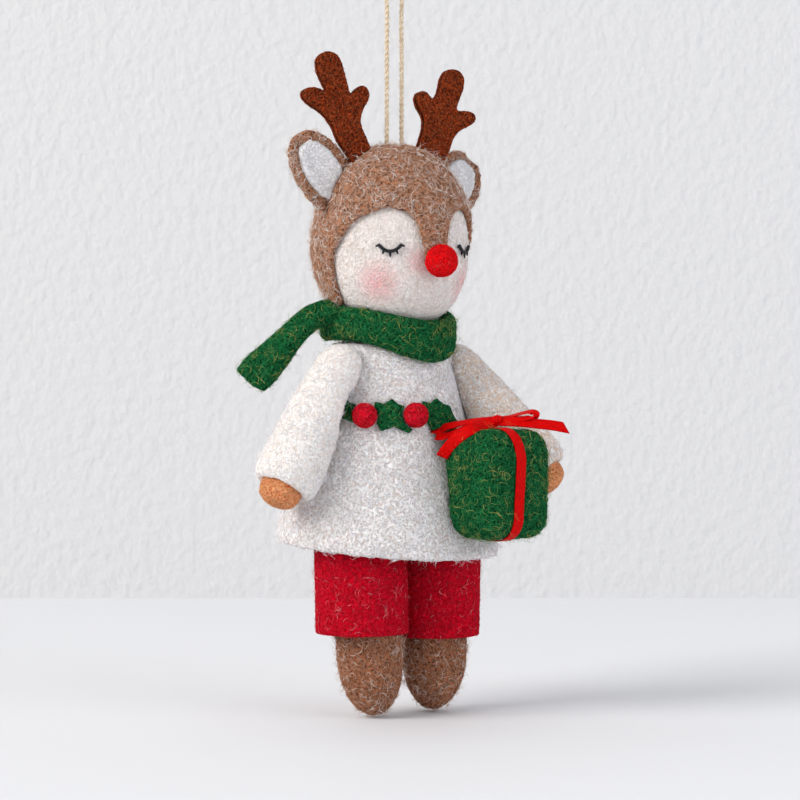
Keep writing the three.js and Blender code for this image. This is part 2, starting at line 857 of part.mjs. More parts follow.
// A notched leaf draped on the tunic, drawn as rings round its middle on both of its faces.
function hollyLeaf(turn) {
  const oval = (tunicSideShare + tunicDepthShare) / 2;
  const face = (scale, out) =>
    leafShares.map(([across, up]) => {
      const swing = (scale * across * leafLength) / 2 / (waistHalfWidth * oval);
      return tunicPoint(rad(turn) + swing, waistZ + (scale * up * leafHeight) / 2, out);
    });
  const [low, high] = [leafLift, leafLift + leafThickness];
  const rings = [
    ...[0.3, 0.7, 1].map((scale) => face(scale, low)),
    ...[1, 0.7, 0.3].map((scale) => face(scale, high)),
  ];
  return cut(loft(rings), ...berryTurns.map((berryTurn) => berry(berryTurn, seatGap)));
}

const giftMiddleZ = waistZ - giftBelowWaist;

function giftAt() {
  const half = tunicHalfWidth(giftMiddleZ);
  const share = giftX / (tunicSideShare * half);
  return V(giftX, -(tunicDepthShare * half * Math.sqrt(1 - share * share)) - giftProud, giftMiddleZ);
}

function giftSolid(grow) {
  const at = giftAt();
  const half = V(giftWidth, giftDepth, giftHeight).divideScalar(2).addScalar(grow);
  const round = giftRound + grow;
  const outline = (radius) =>
    [[1, 1], [-1, 1], [-1, -1], [1, -1]].flatMap(([sx, sy], corner) =>
      [0, 0.25, 0.5, 0.75, 1].map((share) => {
        const a = ((corner + share) * TURN) / 4;
        return [sx * (half.x - round) + radius * Math.cos(a), sy * (half.y - round) + radius * Math.sin(a)];
      }),
    );
  const rings = [-80, -55, -30, -5, 5, 30, 55, 80].map((degrees) => {
    const z = Math.sign(degrees) * (half.z - round) + round * Math.sin(rad(degrees));
    return outline(round * Math.cos(rad(degrees))).map(([x, y]) => V(x, y, z).add(at));
  });
  return loft(rings);
}

const giftBox = () => cut(giftSolid(0), tunicSolid(seatGap));

// The band of satin over the gift's top, down its front and under it.
function giftRibbon() {
  const at = giftAt();
  const lift = seatGap + ribbonThickness / 2;
  const [y, z] = [giftDepth / 2 - giftRound, giftHeight / 2 - giftRound];
  const bend = (from, height) =>
    [0, 1, 2, 3, 4, 5].map((i) => {
      const a = rad(from + 18 * i);
      return V(0, -y - (giftRound + lift) * Math.sin(a), height + (giftRound + lift) * Math.cos(a)).add(at);
    });
  const top = V(0, y, giftHeight / 2 + lift).add(at);
  const bottom = V(0, y, -giftHeight / 2 - lift).add(at);
  const band = strip([top, ...bend(0, z), ...bend(90, -z), bottom], V(1, 0, 0), ribbonWidth, ribbonThickness);
  return band.translate(ribbonAside, 0, 0);
}

const bowWidthAxis = V(0, -Math.cos(rad(bowTilt)), -Math.sin(rad(bowTilt)));
const bowUp = V(0, -Math.sin(rad(bowTilt)), Math.cos(rad(bowTilt)));

const knotAt = () => giftAt().add(V(0, 0, giftHeight / 2 + 2 * seatGap + ribbonThickness + knotLift + knotRadius));
const bowKnot = (grow = 0) => ball(knotRadius + grow, knotAt(), 14, 9);

function bowLoop(side, reach, drop) {
  const steps = 18;
  const points = Array.from({ length: steps + 1 }, (_, i) => {
    const a = lerp(0.06, 0.94, i / steps) * TURN;
    const out = (1 - Math.cos(a)) / 2;
    return knotAt()
      .add(V(side * reach * out, 0, -drop * out * out))
      .addScaledVector(bowUp, (bowLoopOpening / 2) * Math.sin(a));
  });
  return cut(strip(points, bowWidthAxis, ribbonWidth, ribbonThickness), bowKnot(seatGap));
}

function bowTail(side, reach, drop, forward) {
  const start = ribbonWidth / 2 + seatGap;
  const points = Array.from({ length: 13 }, (_, i) => {
    const share = i / 12;
    const out = lerp(start, reach, share);
    const dip = knotRadius * 0.75 + tailDip * Math.min(1, (out - start) / tailDipReach);
    return knotAt().add(V(side * out, -forward * share, -drop * share ** 3 - dip));
  });
  return cut(strip(points, bowWidthAxis, ribbonWidth, ribbonThickness), bowKnot(seatGap), giftSolid(seatGap));
}

const crownTopZ = headWidestZ + headRise + hoodOut;
const crownY = -headForward - crownForward;

// The twine's route, in heights above the crown: up one strand, round the top and down the other.
function hangerRoute() {
  const half = strandSpacing / 2;
  const round = hangerRise - hangerLoopRadius;
  const rise = (share) => lerp(twineGap, round - hangerFlare, share);
  const strand = [
    [half, rise(0)],
    [half, rise(1 / 3)],
    [half, rise(2 / 3)],
    [half, rise(1)],
    [lerp(half, hangerLoopRadius, 0.45), round - hangerFlare * 0.45],
    [lerp(half, hangerLoopRadius, 0.9), round - hangerFlare * 0.1],
  ];
  const arc = [0.5, 1, 1.5, 2, 2.5, 3, 3.5].map((step) => {
    const a = (step * TURN) / 8;
    return [hangerLoopRadius * Math.cos(a), round + hangerLoopRadius * Math.sin(a)];
  });
  return [...strand, ...arc, ...strand.map(([x, z]) => [-x, z]).reverse()];
}

function hangerCord() {
  const section = new THREE.Shape(
    Array.from({ length: 8 }, (_, i) => {
      const a = (i / 8) * TURN;
      return new THREE.Vector2(twineRadius * Math.cos(a), twineRadius * Math.sin(a));
    }),
  );
  const route = hangerRoute().map(([x, rise]) => V(x, crownY, crownTopZ + rise));
  return new THREE.ExtrudeGeometry(section, { steps: 40, extrudePath: new THREE.CatmullRomCurve3(route) });
}

const pieces = [
  ["hanger_cord", hangerCord, jute],
  ["torso_core", torsoCore, coreWool],
  ["tunic", tunic, tunicWool],
  ["head", () => headSolid(0), creamWool],
  ["hood", hood, brownWool],
  ["nose", nose, noseWool],
  ["right_eye_stitch", () => eyeStitch(-1), blackThread],
  ["left_eye_stitch", () => eyeStitch(1), blackThread],
  ["right_ear", () => ear(-1), brownWool],
  ["left_ear", () => ear(1), brownWool],
  ["right_ear_lining", () => earLining(-1), earFelt],
  ["left_ear_lining", () => earLining(1), earFelt],
  ["right_antler", () => antler(-1), antlerFelt],
  ["left_antler", () => antler(1), antlerFelt],
  ["scarf_wrap", scarfWrap, greenFelt],
  ["scarf_tail", scarfTail, greenFelt],
  ...leafTurns.map((turn, i) => [`holly_leaf_${i + 1}`, () => hollyLeaf(turn), greenFelt]),
  ...berryTurns.map((turn, i) => [`berry_${i + 1}`, () => berry(turn), noseWool]),
  ["right_sleeve", rightSleeve, tunicWool],
  ["left_sleeve", leftSleeve, tunicWool],
  ["right_hand", () => hand(-1), tanWool],
  ["left_hand", () => cut(hand(1), giftSolid(seatGap)), tanWool],
  ["right_shoulder_stitch", () => cut(shoulderStitch(-1), tunicSolid(seatGap)), coreWool],
  ["right_leg", () => leg(-1), brownWool],
  ["left_leg", () => leg(1), brownWool],
  ["right_trouser_leg", () => trouserLeg(-1), redFelt],
  ["left_trouser_leg", () => trouserLeg(1), redFelt],
  ["right_hip_stitch", () => hipStitch(-1), coreWool],
  ["left_hip_stitch", () => hipStitch(1), coreWool],
  ["gift_box", giftBox, greenFelt],
  ["gift_ribbon", giftRibbon, satin],
  ["bow_knot", bowKnot, satin],
  ["bow_right_loop", () => bowLoop(-1, rightBowLoop, rightLoopDrop), satin],
  ["bow_left_loop", () => bowLoop(1, leftBowLoop, leftLoopDrop), satin],
  ["bow_right_tail", () => bowTail(-1, rightBowTail, rightTailDrop, ribbonWidth / 2), satin],
  ["bow_left_tail", () => bowTail(1, leftBowTail, leftTailDrop, 0), satin],
];

const ornament = new THREE.Group();
ornament.name = "reindeer_ornament";
const hangFrom = V(0, crownY, crownTopZ + hangerRise - hookBelowTop);
for (const [name, build, material] of pieces) {
  const mesh = new THREE.Mesh(build().translate(-hangFrom.x, -hangFrom.y, -hangFrom.z), material);
  mesh.name = name;
  ornament.add(mesh);
}

export default ornament;
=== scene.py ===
"""A felted-wool reindeer ornament that hangs from a twine loop and holds a wrapped gift.

Everything is in metres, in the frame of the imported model: +Z is up, the doll faces -Y, and the
origin lies inside the top of the twine loop. Each piece of wool is a copy of its solid that is
evened out and roughened, and then covered with curled fibres. Sizes in the classes are in
millimetres, and MM turns them into metres. RIGHT_FRONT is the bearing, in degrees from the doll's
front to its left, of the side from which the scarf's tail and the gift's bow are laid out.
"""

from __future__ import annotations

import json
import logging
import math
from collections.abc import Callable, Iterator, Sequence
from contextlib import contextmanager
from dataclasses import dataclass, replace
from enum import Enum
from typing import Any

import bmesh
import bpy
import numpy as np
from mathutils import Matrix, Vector
from mathutils.bvhtree import BVHTree

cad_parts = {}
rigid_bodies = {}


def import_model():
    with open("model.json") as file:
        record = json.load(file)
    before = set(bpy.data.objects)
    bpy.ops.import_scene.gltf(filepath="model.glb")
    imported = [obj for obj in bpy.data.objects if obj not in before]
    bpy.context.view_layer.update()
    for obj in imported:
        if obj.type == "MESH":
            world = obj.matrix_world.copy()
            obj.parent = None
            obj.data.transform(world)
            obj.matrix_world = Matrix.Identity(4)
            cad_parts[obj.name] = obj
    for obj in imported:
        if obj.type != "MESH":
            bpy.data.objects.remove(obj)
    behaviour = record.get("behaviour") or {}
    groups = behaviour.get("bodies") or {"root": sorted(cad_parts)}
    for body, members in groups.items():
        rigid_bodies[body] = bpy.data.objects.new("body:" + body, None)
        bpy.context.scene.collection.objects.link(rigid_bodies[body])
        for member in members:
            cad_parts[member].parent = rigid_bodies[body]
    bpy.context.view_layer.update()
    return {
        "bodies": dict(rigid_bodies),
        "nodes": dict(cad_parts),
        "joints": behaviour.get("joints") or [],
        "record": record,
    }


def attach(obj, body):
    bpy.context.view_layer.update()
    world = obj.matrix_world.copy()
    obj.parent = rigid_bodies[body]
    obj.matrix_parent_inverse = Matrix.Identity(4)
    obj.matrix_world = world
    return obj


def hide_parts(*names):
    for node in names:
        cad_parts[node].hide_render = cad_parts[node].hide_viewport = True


LOG = logging.getLogger("reindeer")
MM = 0.001
TURN = 2 * math.pi
RIGHT_FRONT = -36.9

Rgba = tuple[float, float, float, float]
Stops = tuple[tuple[float, Rgba], ...]
Point = tuple[float, float, float]
Station = tuple[Point, Point]
Faces = list[list[int]]
Socket = bpy.types.NodeSocket


def colour(code: int) -> Rgba:
    """Turns a screen colour into the linear one that a material holds.

    Args:
        code: Red, green and blue, with eight bits each.

    Returns:
        Linear red, green, blue and an alpha of one.
    """
    shares = [(code >> shift & 255) / 255 for shift in (16, 8, 0)]
    linear = [s / 12.92 if s <= 0.04045 else ((s + 0.055) / 1.055) ** 2.4 for s in shares]
    return (linear[0], linear[1], linear[2], 1.0)


def stops(*places: tuple[float, int]) -> Stops:
    """Returns a ramp's stops from places and screen colours."""
    return tuple((place, colour(code)) for place, code in places)


class Graph:
    """Builds the nodes of one tree, with one call for each node."""

    def __init__(self, tree: bpy.types.NodeTree) -> None:
        """Starts on a tree.

        Args:
            tree: The tree that the nodes go into.
        """
        self.tree = tree

    def feed(self, socket: Socket, value: Any) -> None:
        """Links a socket to an input, or sets the input's value."""
        if isinstance(value, Socket):
            self.tree.links.new(value, socket)
        else:
            socket.default_value = value

    def add(self, kind: str, inputs: dict[Any, Any] | None = None, **settings: Any) -> bpy.types.Node:
        """Adds a node.

        Args:
            kind: The node's type.
            inputs: A value or a socket for each input, by its name or index.
            settings: The node's own options.

        Returns:
            The new node.
        """
        node = self.tree.nodes.new(kind)
        for name, value in settings.items():
            setattr(node, name, value)
        for key, value in (inputs or {}).items():
            self.feed(node.inputs[key], value)
        return node

    def math(self, operation: str, first: Any, second: Any = 0.0) -> Socket:
        """Adds a Math node and returns its value."""
        return self.add("ShaderNodeMath", {0: first, 1: second}, operation=operation).outputs[0]

    def vector(self, operation: str, first: Any, second: Any) -> Socket:
        """Adds a Vector Math node and returns its vector."""
        return self.add("ShaderNodeVectorMath", {0: first, 1: second}, operation=operation).outputs[0]

    def scaled(self, vector: Any, scale: Any) -> Socket:
        """Adds a Vector Math node that scales a vector and returns the result."""
        return self.add("ShaderNodeVectorMath", {0: vector, "Scale": scale}, operation="SCALE").outputs[0]

    def mix(self, share: Any, first: Any, second: Any) -> Socket:
        """Adds a Mix node and returns the mixed colour, from the node's colour sockets."""
        inputs = {0: share, 6: first, 7: second}
        return self.add("ShaderNodeMix", inputs, data_type="RGBA").outputs[2]

    def remap(self, value: Any, low: float, high: float, top: float = 1.0) -> Socket:
        """Adds a Map Range node with smooth ends, which gives zero at low and top at high."""
        inputs = {0: value, 1: low, 2: high, 3: 0.0, 4: top}
        return self.add("ShaderNodeMapRange", inputs, interpolation_type="SMOOTHSTEP").outputs[0]

    def noise(self, at: Any, scale: Any, detail: float, distortion: float = 0.0) -> Socket:
        """Adds a Noise Texture and returns its value."""
        inputs = {"Vector": at, "Scale": scale, "Detail": detail, "Distortion": distortion}
        return self.add("ShaderNodeTexNoise", inputs).outputs[0]


class ShaderGraph(Graph):
    """Builds the nodes of one material."""

    def __init__(self, name: str) -> None:
        """Starts a material with a Principled shader.

        Args:
            name: The material's name.
        """
        self.material = bpy.data.materials.new(name)
        self.material.use_nodes = True
        super().__init__(self.material.node_tree)
        self.shader = self.tree.nodes["Principled BSDF"]

    def place(self) -> Socket:
        """Returns the point on the piece in millimetres."""
        here = self.add("ShaderNodeTexCoord").outputs["Object"]
        return self.scaled(here, 1 / MM)

    def attribute(self, name: str) -> Socket:
        """Returns the value of one of the mesh's attributes."""
        return self.add("ShaderNodeAttribute", attribute_name=name).outputs["Fac"]

    def ramp(self, share: Socket, places: Stops) -> Socket:
        """Adds a Color Ramp and returns its colour.

        Args:
            share: Where on the ramp to read.
            places: Places from 0 to 1, each with its colour.

        Returns:
            The ramp's colour.
        """
        node = self.add("ShaderNodeValToRGB", {0: share})
        elements = node.color_ramp.elements
        while len(elements) < len(places):
            elements.new(1.0)
        for element, (place, tone) in zip(elements, places):
            element.position = place
            element.color = tone
        return node.outputs[0]

    def set(self, **values: Any) -> None:
        """Sets or links the shader's inputs, with an underscore for each space in a name."""
        for key, value in values.items():
            self.feed(self.shader.inputs[key.replace("_", " ")], value)

    def bump(self, height: Socket, distance: float) -> None:
        """Links a bump to the shader, whose height of one stands out by a distance in millimetres."""
        inputs = {"Height": height, "Distance": distance * MM, "Strength": 1.0}
        self.set(Normal=self.add("ShaderNodeBump", inputs).outputs[0])


class GeometryGraph(Graph):
    """Builds a Geometry Nodes tree with named inputs, and applies it to objects."""

    SOCKETS = {
        float: "NodeSocketFloat",
        int: "NodeSocketInt",
        bpy.types.Material: "NodeSocketMaterial",
    }

    def __init__(self, name: str) -> None:
        """Starts a tree with geometry in and out.

        Args:
            name: The tree's name.
        """
        super().__init__(bpy.data.node_groups.new(name, "GeometryNodeTree"))
        self.tree.interface.new_socket("Geometry", in_out="OUTPUT", socket_type="NodeSocketGeometry")
        self.tree.interface.new_socket("Geometry", in_out="INPUT", socket_type="NodeSocketGeometry")
        self.source = self.add("NodeGroupInput")
        self.result = self.add("NodeGroupOutput")

    def named(self, name: str, kind: type) -> Socket:
        """Adds a named input.

        Args:
            name: The input's name.
            kind: float, int or Material.

        Returns:
            The socket that holds the input.
        """
        self.tree.interface.new_socket(name, in_out="INPUT", socket_type=self.SOCKETS[kind])
        return self.source.outputs[name]

    def store(self, geometry: Socket, name: str, value: Socket, kind: str = "FLOAT") -> Socket:
        """Stores a value on the points as an attribute and returns the geometry."""
        inputs = {"Geometry": geometry, "Name": name, "Value": value}
        return self.add("GeometryNodeStoreNamedAttribute", inputs, data_type=kind, domain="POINT").outputs[0]

    def stored(self, name: str, kind: str = "FLOAT") -> Socket:
        """Returns an attribute's value."""
        return self.add("GeometryNodeInputNamedAttribute", {"Name": name}, data_type=kind).outputs[0]

    def random(self, low: Any, high: Any, seed: Any) -> Socket:
        """Returns a random number from low to high for each element, from the node's float sockets."""
        inputs = {2: low, 3: high, 8: seed}
        return self.add("FunctionNodeRandomValue", inputs, data_type="FLOAT").outputs[1]

    def finish(self, geometry: Socket, material: Socket) -> None:
        """Makes the geometry real and smooth, gives it its material, and links the result.

        Args:
            geometry: What the tree has made.
            material: Its material.
        """
        real = self.add("GeometryNodeRealizeInstances", {0: geometry}).outputs[0]
        smooth = self.add("GeometryNodeSetShadeSmooth", {0: real, "Shade Smooth": True}).outputs[0]
        dressed = self.add("GeometryNodeSetMaterial", {0: smooth, "Material": material}).outputs[0]
        self.tree.links.new(dressed, self.result.inputs[0])

    def apply(self, source: bpy.types.Object, name: str, **values: Any) -> bpy.types.Object:
        """Runs the tree on an object and makes a plain mesh object of the result.

        Args:
            source: The object that the tree reads.
            name: The new object's name.
            values: A value for each named input, with an underscore for each space.

        Returns:
            The new object, at the origin.
        """
        modifier = source.modifiers.new("tree", "NODES")
        modifier.node_group = self.tree
        for item in self.tree.interface.items_tree:
            key = item.name.replace(" ", "_").lower()
            if item.in_out == "INPUT" and key in values:
                modifier[item.identifier] = values[key]
        made = plain_copy(source, name)
        source.modifiers.remove(modifier)
        return made


def plain_copy(source: bpy.types.Object, name: str) -> bpy.types.Object:
    """Makes a plain mesh object of an object with its modifiers applied.

    Args:
        source: The object, at the origin.
        name: The new object's name.

    Returns:
        The new object.
    """
    graph = bpy.context.evaluated_depsgraph_get()
    mesh = bpy.data.meshes.new_from_object(source.evaluated_get(graph), depsgraph=graph)
    return new_object(name, mesh)


def new_object(name: str, mesh: bpy.types.Mesh) -> bpy.types.Object:
    """Puts a mesh into the scene as an object at the origin."""
    mesh.name = name
    made = bpy.data.objects.new(name, mesh)
    bpy.context.scene.collection.objects.link(made)
    return made


def mesh_object(name: str, points: np.ndarray, faces: Faces) -> bpy.types.Object:
    """Makes an object from points in millimetres and faces.

    Args:
        name: The object's name.
        points: One row for each point, in millimetres.
        faces: The points' indices, for each face.

    Returns:
        The new object, with smooth faces.
    """
    mesh = bpy.data.meshes.new(name)
    mesh.from_pydata((points * MM).tolist(), [], faces)
    mesh.validate()
    mesh.shade_smooth()
    return new_object(name, mesh)


def shell_faces(rings: int, sides: int) -> Faces:
    """Joins rings of points into a closed shell.

    Args:
        rings: How many rings there are, one after another.
        sides: How many points each ring has.

    Returns:
        The faces between the rings and over both ends.
    """
    faces: Faces = []
    for i in range(rings - 1):
        for j in range(sides):
            k = (j + 1) % sides
            faces.append([i * sides + j, i * sides + k, (i + 1) * sides + k, (i + 1) * sides + j])
    faces.append(list(reversed(range(sides))))
    faces.append([(rings - 1) * sides + j for j in range(sides)])
    return faces


def drop(item: bpy.types.Object) -> None:
    """Removes a working object and its mesh."""
    mesh = item.data
    bpy.data.objects.remove(item)
    bpy.data.meshes.remove(mesh)


def points_of(item: bpy.types.Object) -> np.ndarray:
    """Returns an object's points in millimetres, one row each."""
    return np.array([v.co for v in item.data.vertices]) / MM


def move_points(item: bpy.types.Object, points: np.ndarray) -> None:
    """Moves an object's points to places in millimetres."""
    item.data.vertices.foreach_set("co", (points * MM).astype(np.float32).ravel())


def store_marks(mesh: bpy.types.Mesh, name: str, marks: Sequence[float]) -> None:
    """Stores a number on each point of a mesh."""
    attribute = mesh.attributes.new(name, "FLOAT", "POINT")
    attribute.data.foreach_set("value", np.array(marks, np.float32))


@contextmanager
def edited(mesh: bpy.types.Mesh) -> Iterator[bmesh.types.BMesh]:
    """Opens a mesh for editing, and writes it back at the end.

    Args:
        mesh: The mesh.

    Yields:
        The mesh that is edited.
    """
    work = bmesh.new()
    work.from_mesh(mesh)
    yield work
    work.to_mesh(mesh)
    work.free()


class FibreTree(GeometryGraph):
    """Scatters curled fibres over a surface and lays them on it, with a few that stand away.

    A fibre is an arc that wanders by a noise, whose slice follows its tone. A stray one rises from
    its root by a power of the share of its length, and the tube tapers from its middle to both ends.
    """

    LEAST_BEND = 0.01
    WANDER_SCALE = 0.75 / MM
    WANDER_DETAIL = 1.5
    SLICE_SPREAD = 50.0
    STRAY_POWER = 1.6
    STRAY_LEAST = 0.3
    TAPER = 1.4
    SIDES = 3

    def __init__(self) -> None:
        """Builds the tree."""
        super().__init__("Curled fibres")
        per_square = self.named("Per Square", float)
        shortest = self.named("Shortest", float)
        longest = self.named("Longest", float)
        thickness = self.named("Thickness", float)
        curl = self.named("Curl", float)
        wander = self.named("Wander", float)
        lift = self.named("Lift", float)
        stray_share = self.named("Stray Share", float)
        stray_lift = self.named("Stray Lift", float)
        count = self.named("Points", int)
        seed = self.named("Seed", int)
        finish = self.named("Finish", bpy.types.Material)
        skin = self.source.outputs[0]
        bare = self.math("SUBTRACT", 1.0, self.stored("covered"))
        inputs = {"Mesh": skin, "Density": self.math("MULTIPLY", per_square, bare), "Seed": seed}
        points = self.add("GeometryNodeDistributePointsOnFaces", inputs)
        rooted = self._root(points, seed, (shortest, longest), curl, stray_share)
        laid = self._lay(self._strands(rooted, count), skin, (wander, lift, stray_lift))
        self.finish(self._thicken(laid, thickness), finish)

    def _root(
        self,
        points: bpy.types.Node,
        seed: Socket,
        lengths: tuple[Socket, Socket],
        curl: Socket,
        stray_share: Socket,
    ) -> Socket:
        """Gives each point its fibre's place, directions and numbers.

        Args:
            points: The node that scatters the points.
            seed: The seed of the random numbers.
            lengths: The shortest and the longest fibre.
            curl: The largest bend in radians.
            stray_share: How many of the fibres stand away.

        Returns:
            The points with their attributes.
        """
        spin = self.random(0.0, TURN, seed)
        turned = points.outputs["Rotation"]
        axes = [
            self.add("FunctionNodeRotateVector", {0: axis, 1: turned}).outputs[0]
            for axis in ((1.0, 0.0, 0.0), (0.0, 1.0, 0.0))
        ]
        along = self.vector(
            "ADD",
            self.scaled(axes[0], self.math("COSINE", spin)),
            self.scaled(axes[1], self.math("SINE", spin)),
        )
        across = self.vector("CROSS_PRODUCT", points.outputs["Normal"], along)
        place = self.add("GeometryNodeInputPosition").outputs[0]
        geometry = points.outputs[0]
        for name, value in {"fibre_at": place, "fibre_along": along, "fibre_across": across}.items():
            geometry = self.store(geometry, name, value, "FLOAT_VECTOR")
        seeds = [self.math("ADD", seed, float(i)) for i in range(1, 5)]
        bend = self.math("MULTIPLY", self.random(-1.0, 1.0, seeds[1]), curl)
        values = {
            "fibre_length": self.random(*lengths, seeds[0]),
            "fibre_bend": self.math("ADD", bend, self.LEAST_BEND),
            "fibre_stray": self.math("LESS_THAN", self.random(0.0, 1.0, seeds[2]), stray_share),
            "fibre_tone": self.random(0.0, 1.0, seeds[3]),
        }
        for name, value in values.items():
            geometry = self.store(geometry, name, value)
        return geometry

    def _strands(self, rooted: Socket, count: Socket) -> Socket:
        """Puts a line of a few points on each root.

        Args:
            rooted: The points that the fibres grow from.
            count: How many points each line has.

        Returns:
            The straight fibres.
        """
        line = self.add("GeometryNodeCurvePrimitiveLine").outputs[0]
        strand = self.add("GeometryNodeResampleCurve", {"Curve": line, "Count": count}).outputs[0]
        placed = self.add("GeometryNodeInstanceOnPoints", {"Points": rooted, "Instance": strand})
        return self.add("GeometryNodeRealizeInstances", {0: placed.outputs[0]}).outputs[0]

    def _arc(self, share: Socket) -> Socket:
        """Bends each fibre in an arc of its own length and bend.

        Args:
            share: The share of its length at which a point of it lies.

        Returns:
            The point's place on the arc.
        """
        bend = self.stored("fibre_bend")
        angle = self.math("MULTIPLY", bend, self.math("SUBTRACT", share, 0.5))
        reach = self.math("DIVIDE", self.stored("fibre_length"), bend)
        ahead = self.math("MULTIPLY", reach, self.math("SINE", angle))
        aside = self.math("MULTIPLY", reach, self.math("SUBTRACT", 1.0, self.math("COSINE", angle)))
        arc = self.vector(
            "ADD",
            self.scaled(self.stored("fibre_along", "FLOAT_VECTOR"), ahead),
            self.scaled(self.stored("fibre_across", "FLOAT_VECTOR"), aside),
        )
        return self.vector("ADD", self.stored("fibre_at", "FLOAT_VECTOR"), arc)

    def _lay(self, fibres: Socket, skin: Socket, heights: tuple[Socket, Socket, Socket]) -> Socket:
        """Bends each fibre in an arc, lets it wander, and lays it on the surface.

        Args:
            fibres: The straight fibres.
            skin: The surface.
            heights: How far the fibres wander, lie off the surface and stand away.

        Returns:
            The laid fibres.
        """
        wander, lift, stray_lift = heights
        share = self.add("GeometryNodeSplineParameter").outputs["Factor"]
        place = self._arc(share)
        tone = self.stored("fibre_tone")
        inputs = {
            "Vector": place,
            "W": self.math("MULTIPLY", tone, self.SLICE_SPREAD),
            "Scale": self.WANDER_SCALE,
            "Detail": self.WANDER_DETAIL,
        }
        away = self.add("ShaderNodeTexNoise", inputs, noise_dimensions="4D")
        drift = self.vector("SUBTRACT", away.outputs["Color"], (0.5, 0.5, 0.5))
        place = self.vector("ADD", place, self.scaled(drift, wander))
        inputs = {"Geometry": skin, "Sample Position": place}
        nearest = self.add("GeometryNodeProximity", inputs, target_element="FACES").outputs["Position"]
        upright = self.add("GeometryNodeInputNormal").outputs[0]
        inputs = {"Mesh": skin, "Value": upright, "Sample Position": place}
        normal = self.add("GeometryNodeSampleNearestSurface", inputs, data_type="FLOAT_VECTOR").outputs[0]
        height = self.math("MULTIPLY", lift, self.math("MULTIPLY", away.outputs["Fac"], 2.0))
        rise = self.math("POWER", share, self.STRAY_POWER)
        stray = self.math("MULTIPLY", self.math("MULTIPLY", self.stored("fibre_stray"), stray_lift), rise)
        stray = self.math("MULTIPLY", stray, self.math("ADD", tone, self.STRAY_LEAST))
        raised = self.scaled(normal, self.math("ADD", height, stray))
        inputs = {"Geometry": fibres, "Position": self.vector("ADD", nearest, raised)}
        return self.add("GeometryNodeSetPosition", inputs).outputs[0]

    def _thicken(self, laid: Socket, thickness: Socket) -> Socket:
        """Turns the curves into closed tubes that taper to their ends.

        Args:
            laid: The laid fibres.
            thickness: Their thickness in the middle.

        Returns:
            The tubes.
        """
        share = self.add("GeometryNodeSplineParameter").outputs["Factor"]
        end = self.math("ABSOLUTE", self.math("SUBTRACT", share, 0.5))
        taper = self.math("SUBTRACT", 1.0, self.math("MULTIPLY", end, self.TAPER))
        inputs = {"Resolution": self.SIDES, "Radius": self.math("MULTIPLY", thickness, 0.5)}
        profile = self.add("GeometryNodeCurvePrimitiveCircle", inputs).outputs[0]
        inputs = {"Curve": laid, "Profile Curve": profile, "Scale": taper, "Fill Caps": True}
        return self.add("GeometryNodeCurveToMesh", inputs).outputs[0]


class SkinTree(GeometryGraph):
    """Roughens an even surface into felt, with soft lumps and small nubs."""

    NUB_SCALE = 1.1 / MM

    def __init__(self) -> None:
        """Builds the tree."""
        super().__init__("Felted skin")
        fullness = self.named("Fullness", float)
        lump_size = self.named("Lump Size", float)
        lump_height = self.named("Lump Height", float)
        nub_height = self.named("Nub Height", float)
        shift = self.named("Shift", float)
        finish = self.named("Finish", bpy.types.Material)
        place = self.add("GeometryNodeInputPosition").outputs[0]
        offset = self.add("ShaderNodeCombineXYZ", {0: shift, 1: shift, 2: shift}).outputs[0]
        moved = self.vector("ADD", place, offset)
        lumps = self.noise(moved, self.math("DIVIDE", 1.0, lump_size), 1.0)
        nubs = self.noise(moved, self.NUB_SCALE, 2.0)
        rise = fullness
        for value, height in ((lumps, lump_height), (nubs, nub_height)):
            centred = self.math("MULTIPLY", self.math("SUBTRACT", value, 0.5), 2.0)
            rise = self.math("ADD", rise, self.math("MULTIPLY", centred, height))
        normal = self.add("GeometryNodeInputNormal").outputs[0]
        inputs = {"Geometry": self.source.outputs[0], "Offset": self.scaled(normal, rise)}
        self.finish(self.add("GeometryNodeSetPosition", inputs).outputs[0], finish)


@dataclass(frozen=True)
class Speckle:
    """Soft-edged spots cut out of a noise, whose scale is per millimetre."""

    scale: float
    detail: float
    start: float
    full: float
    strength: float = 1.0

    def draw(self, graph: ShaderGraph, at: Socket, grain: float = 1.0) -> Socket:
        """Draws the spots.

        Args:
            graph: The material.
            at: The point in millimetres.
            grain: How many times finer the spots are than their scale says.

        Returns:
            The strength inside a spot, and zero between the spots.
        """
        noise = graph.noise(at, self.scale * grain, self.detail)
        return graph.remap(noise, self.start, self.full, self.strength)


@dataclass(frozen=True)
class Finish:
    """A finish, with its own name and the record's slot that it belongs to."""

    name: str
    slot: str

    def surface(self) -> bpy.types.Material:
        """Makes the material of the surface."""
        raise NotImplementedError

    def strand(self) -> bpy.types.Material:
        """Makes the material of the loose fibres."""
        raise NotImplementedError


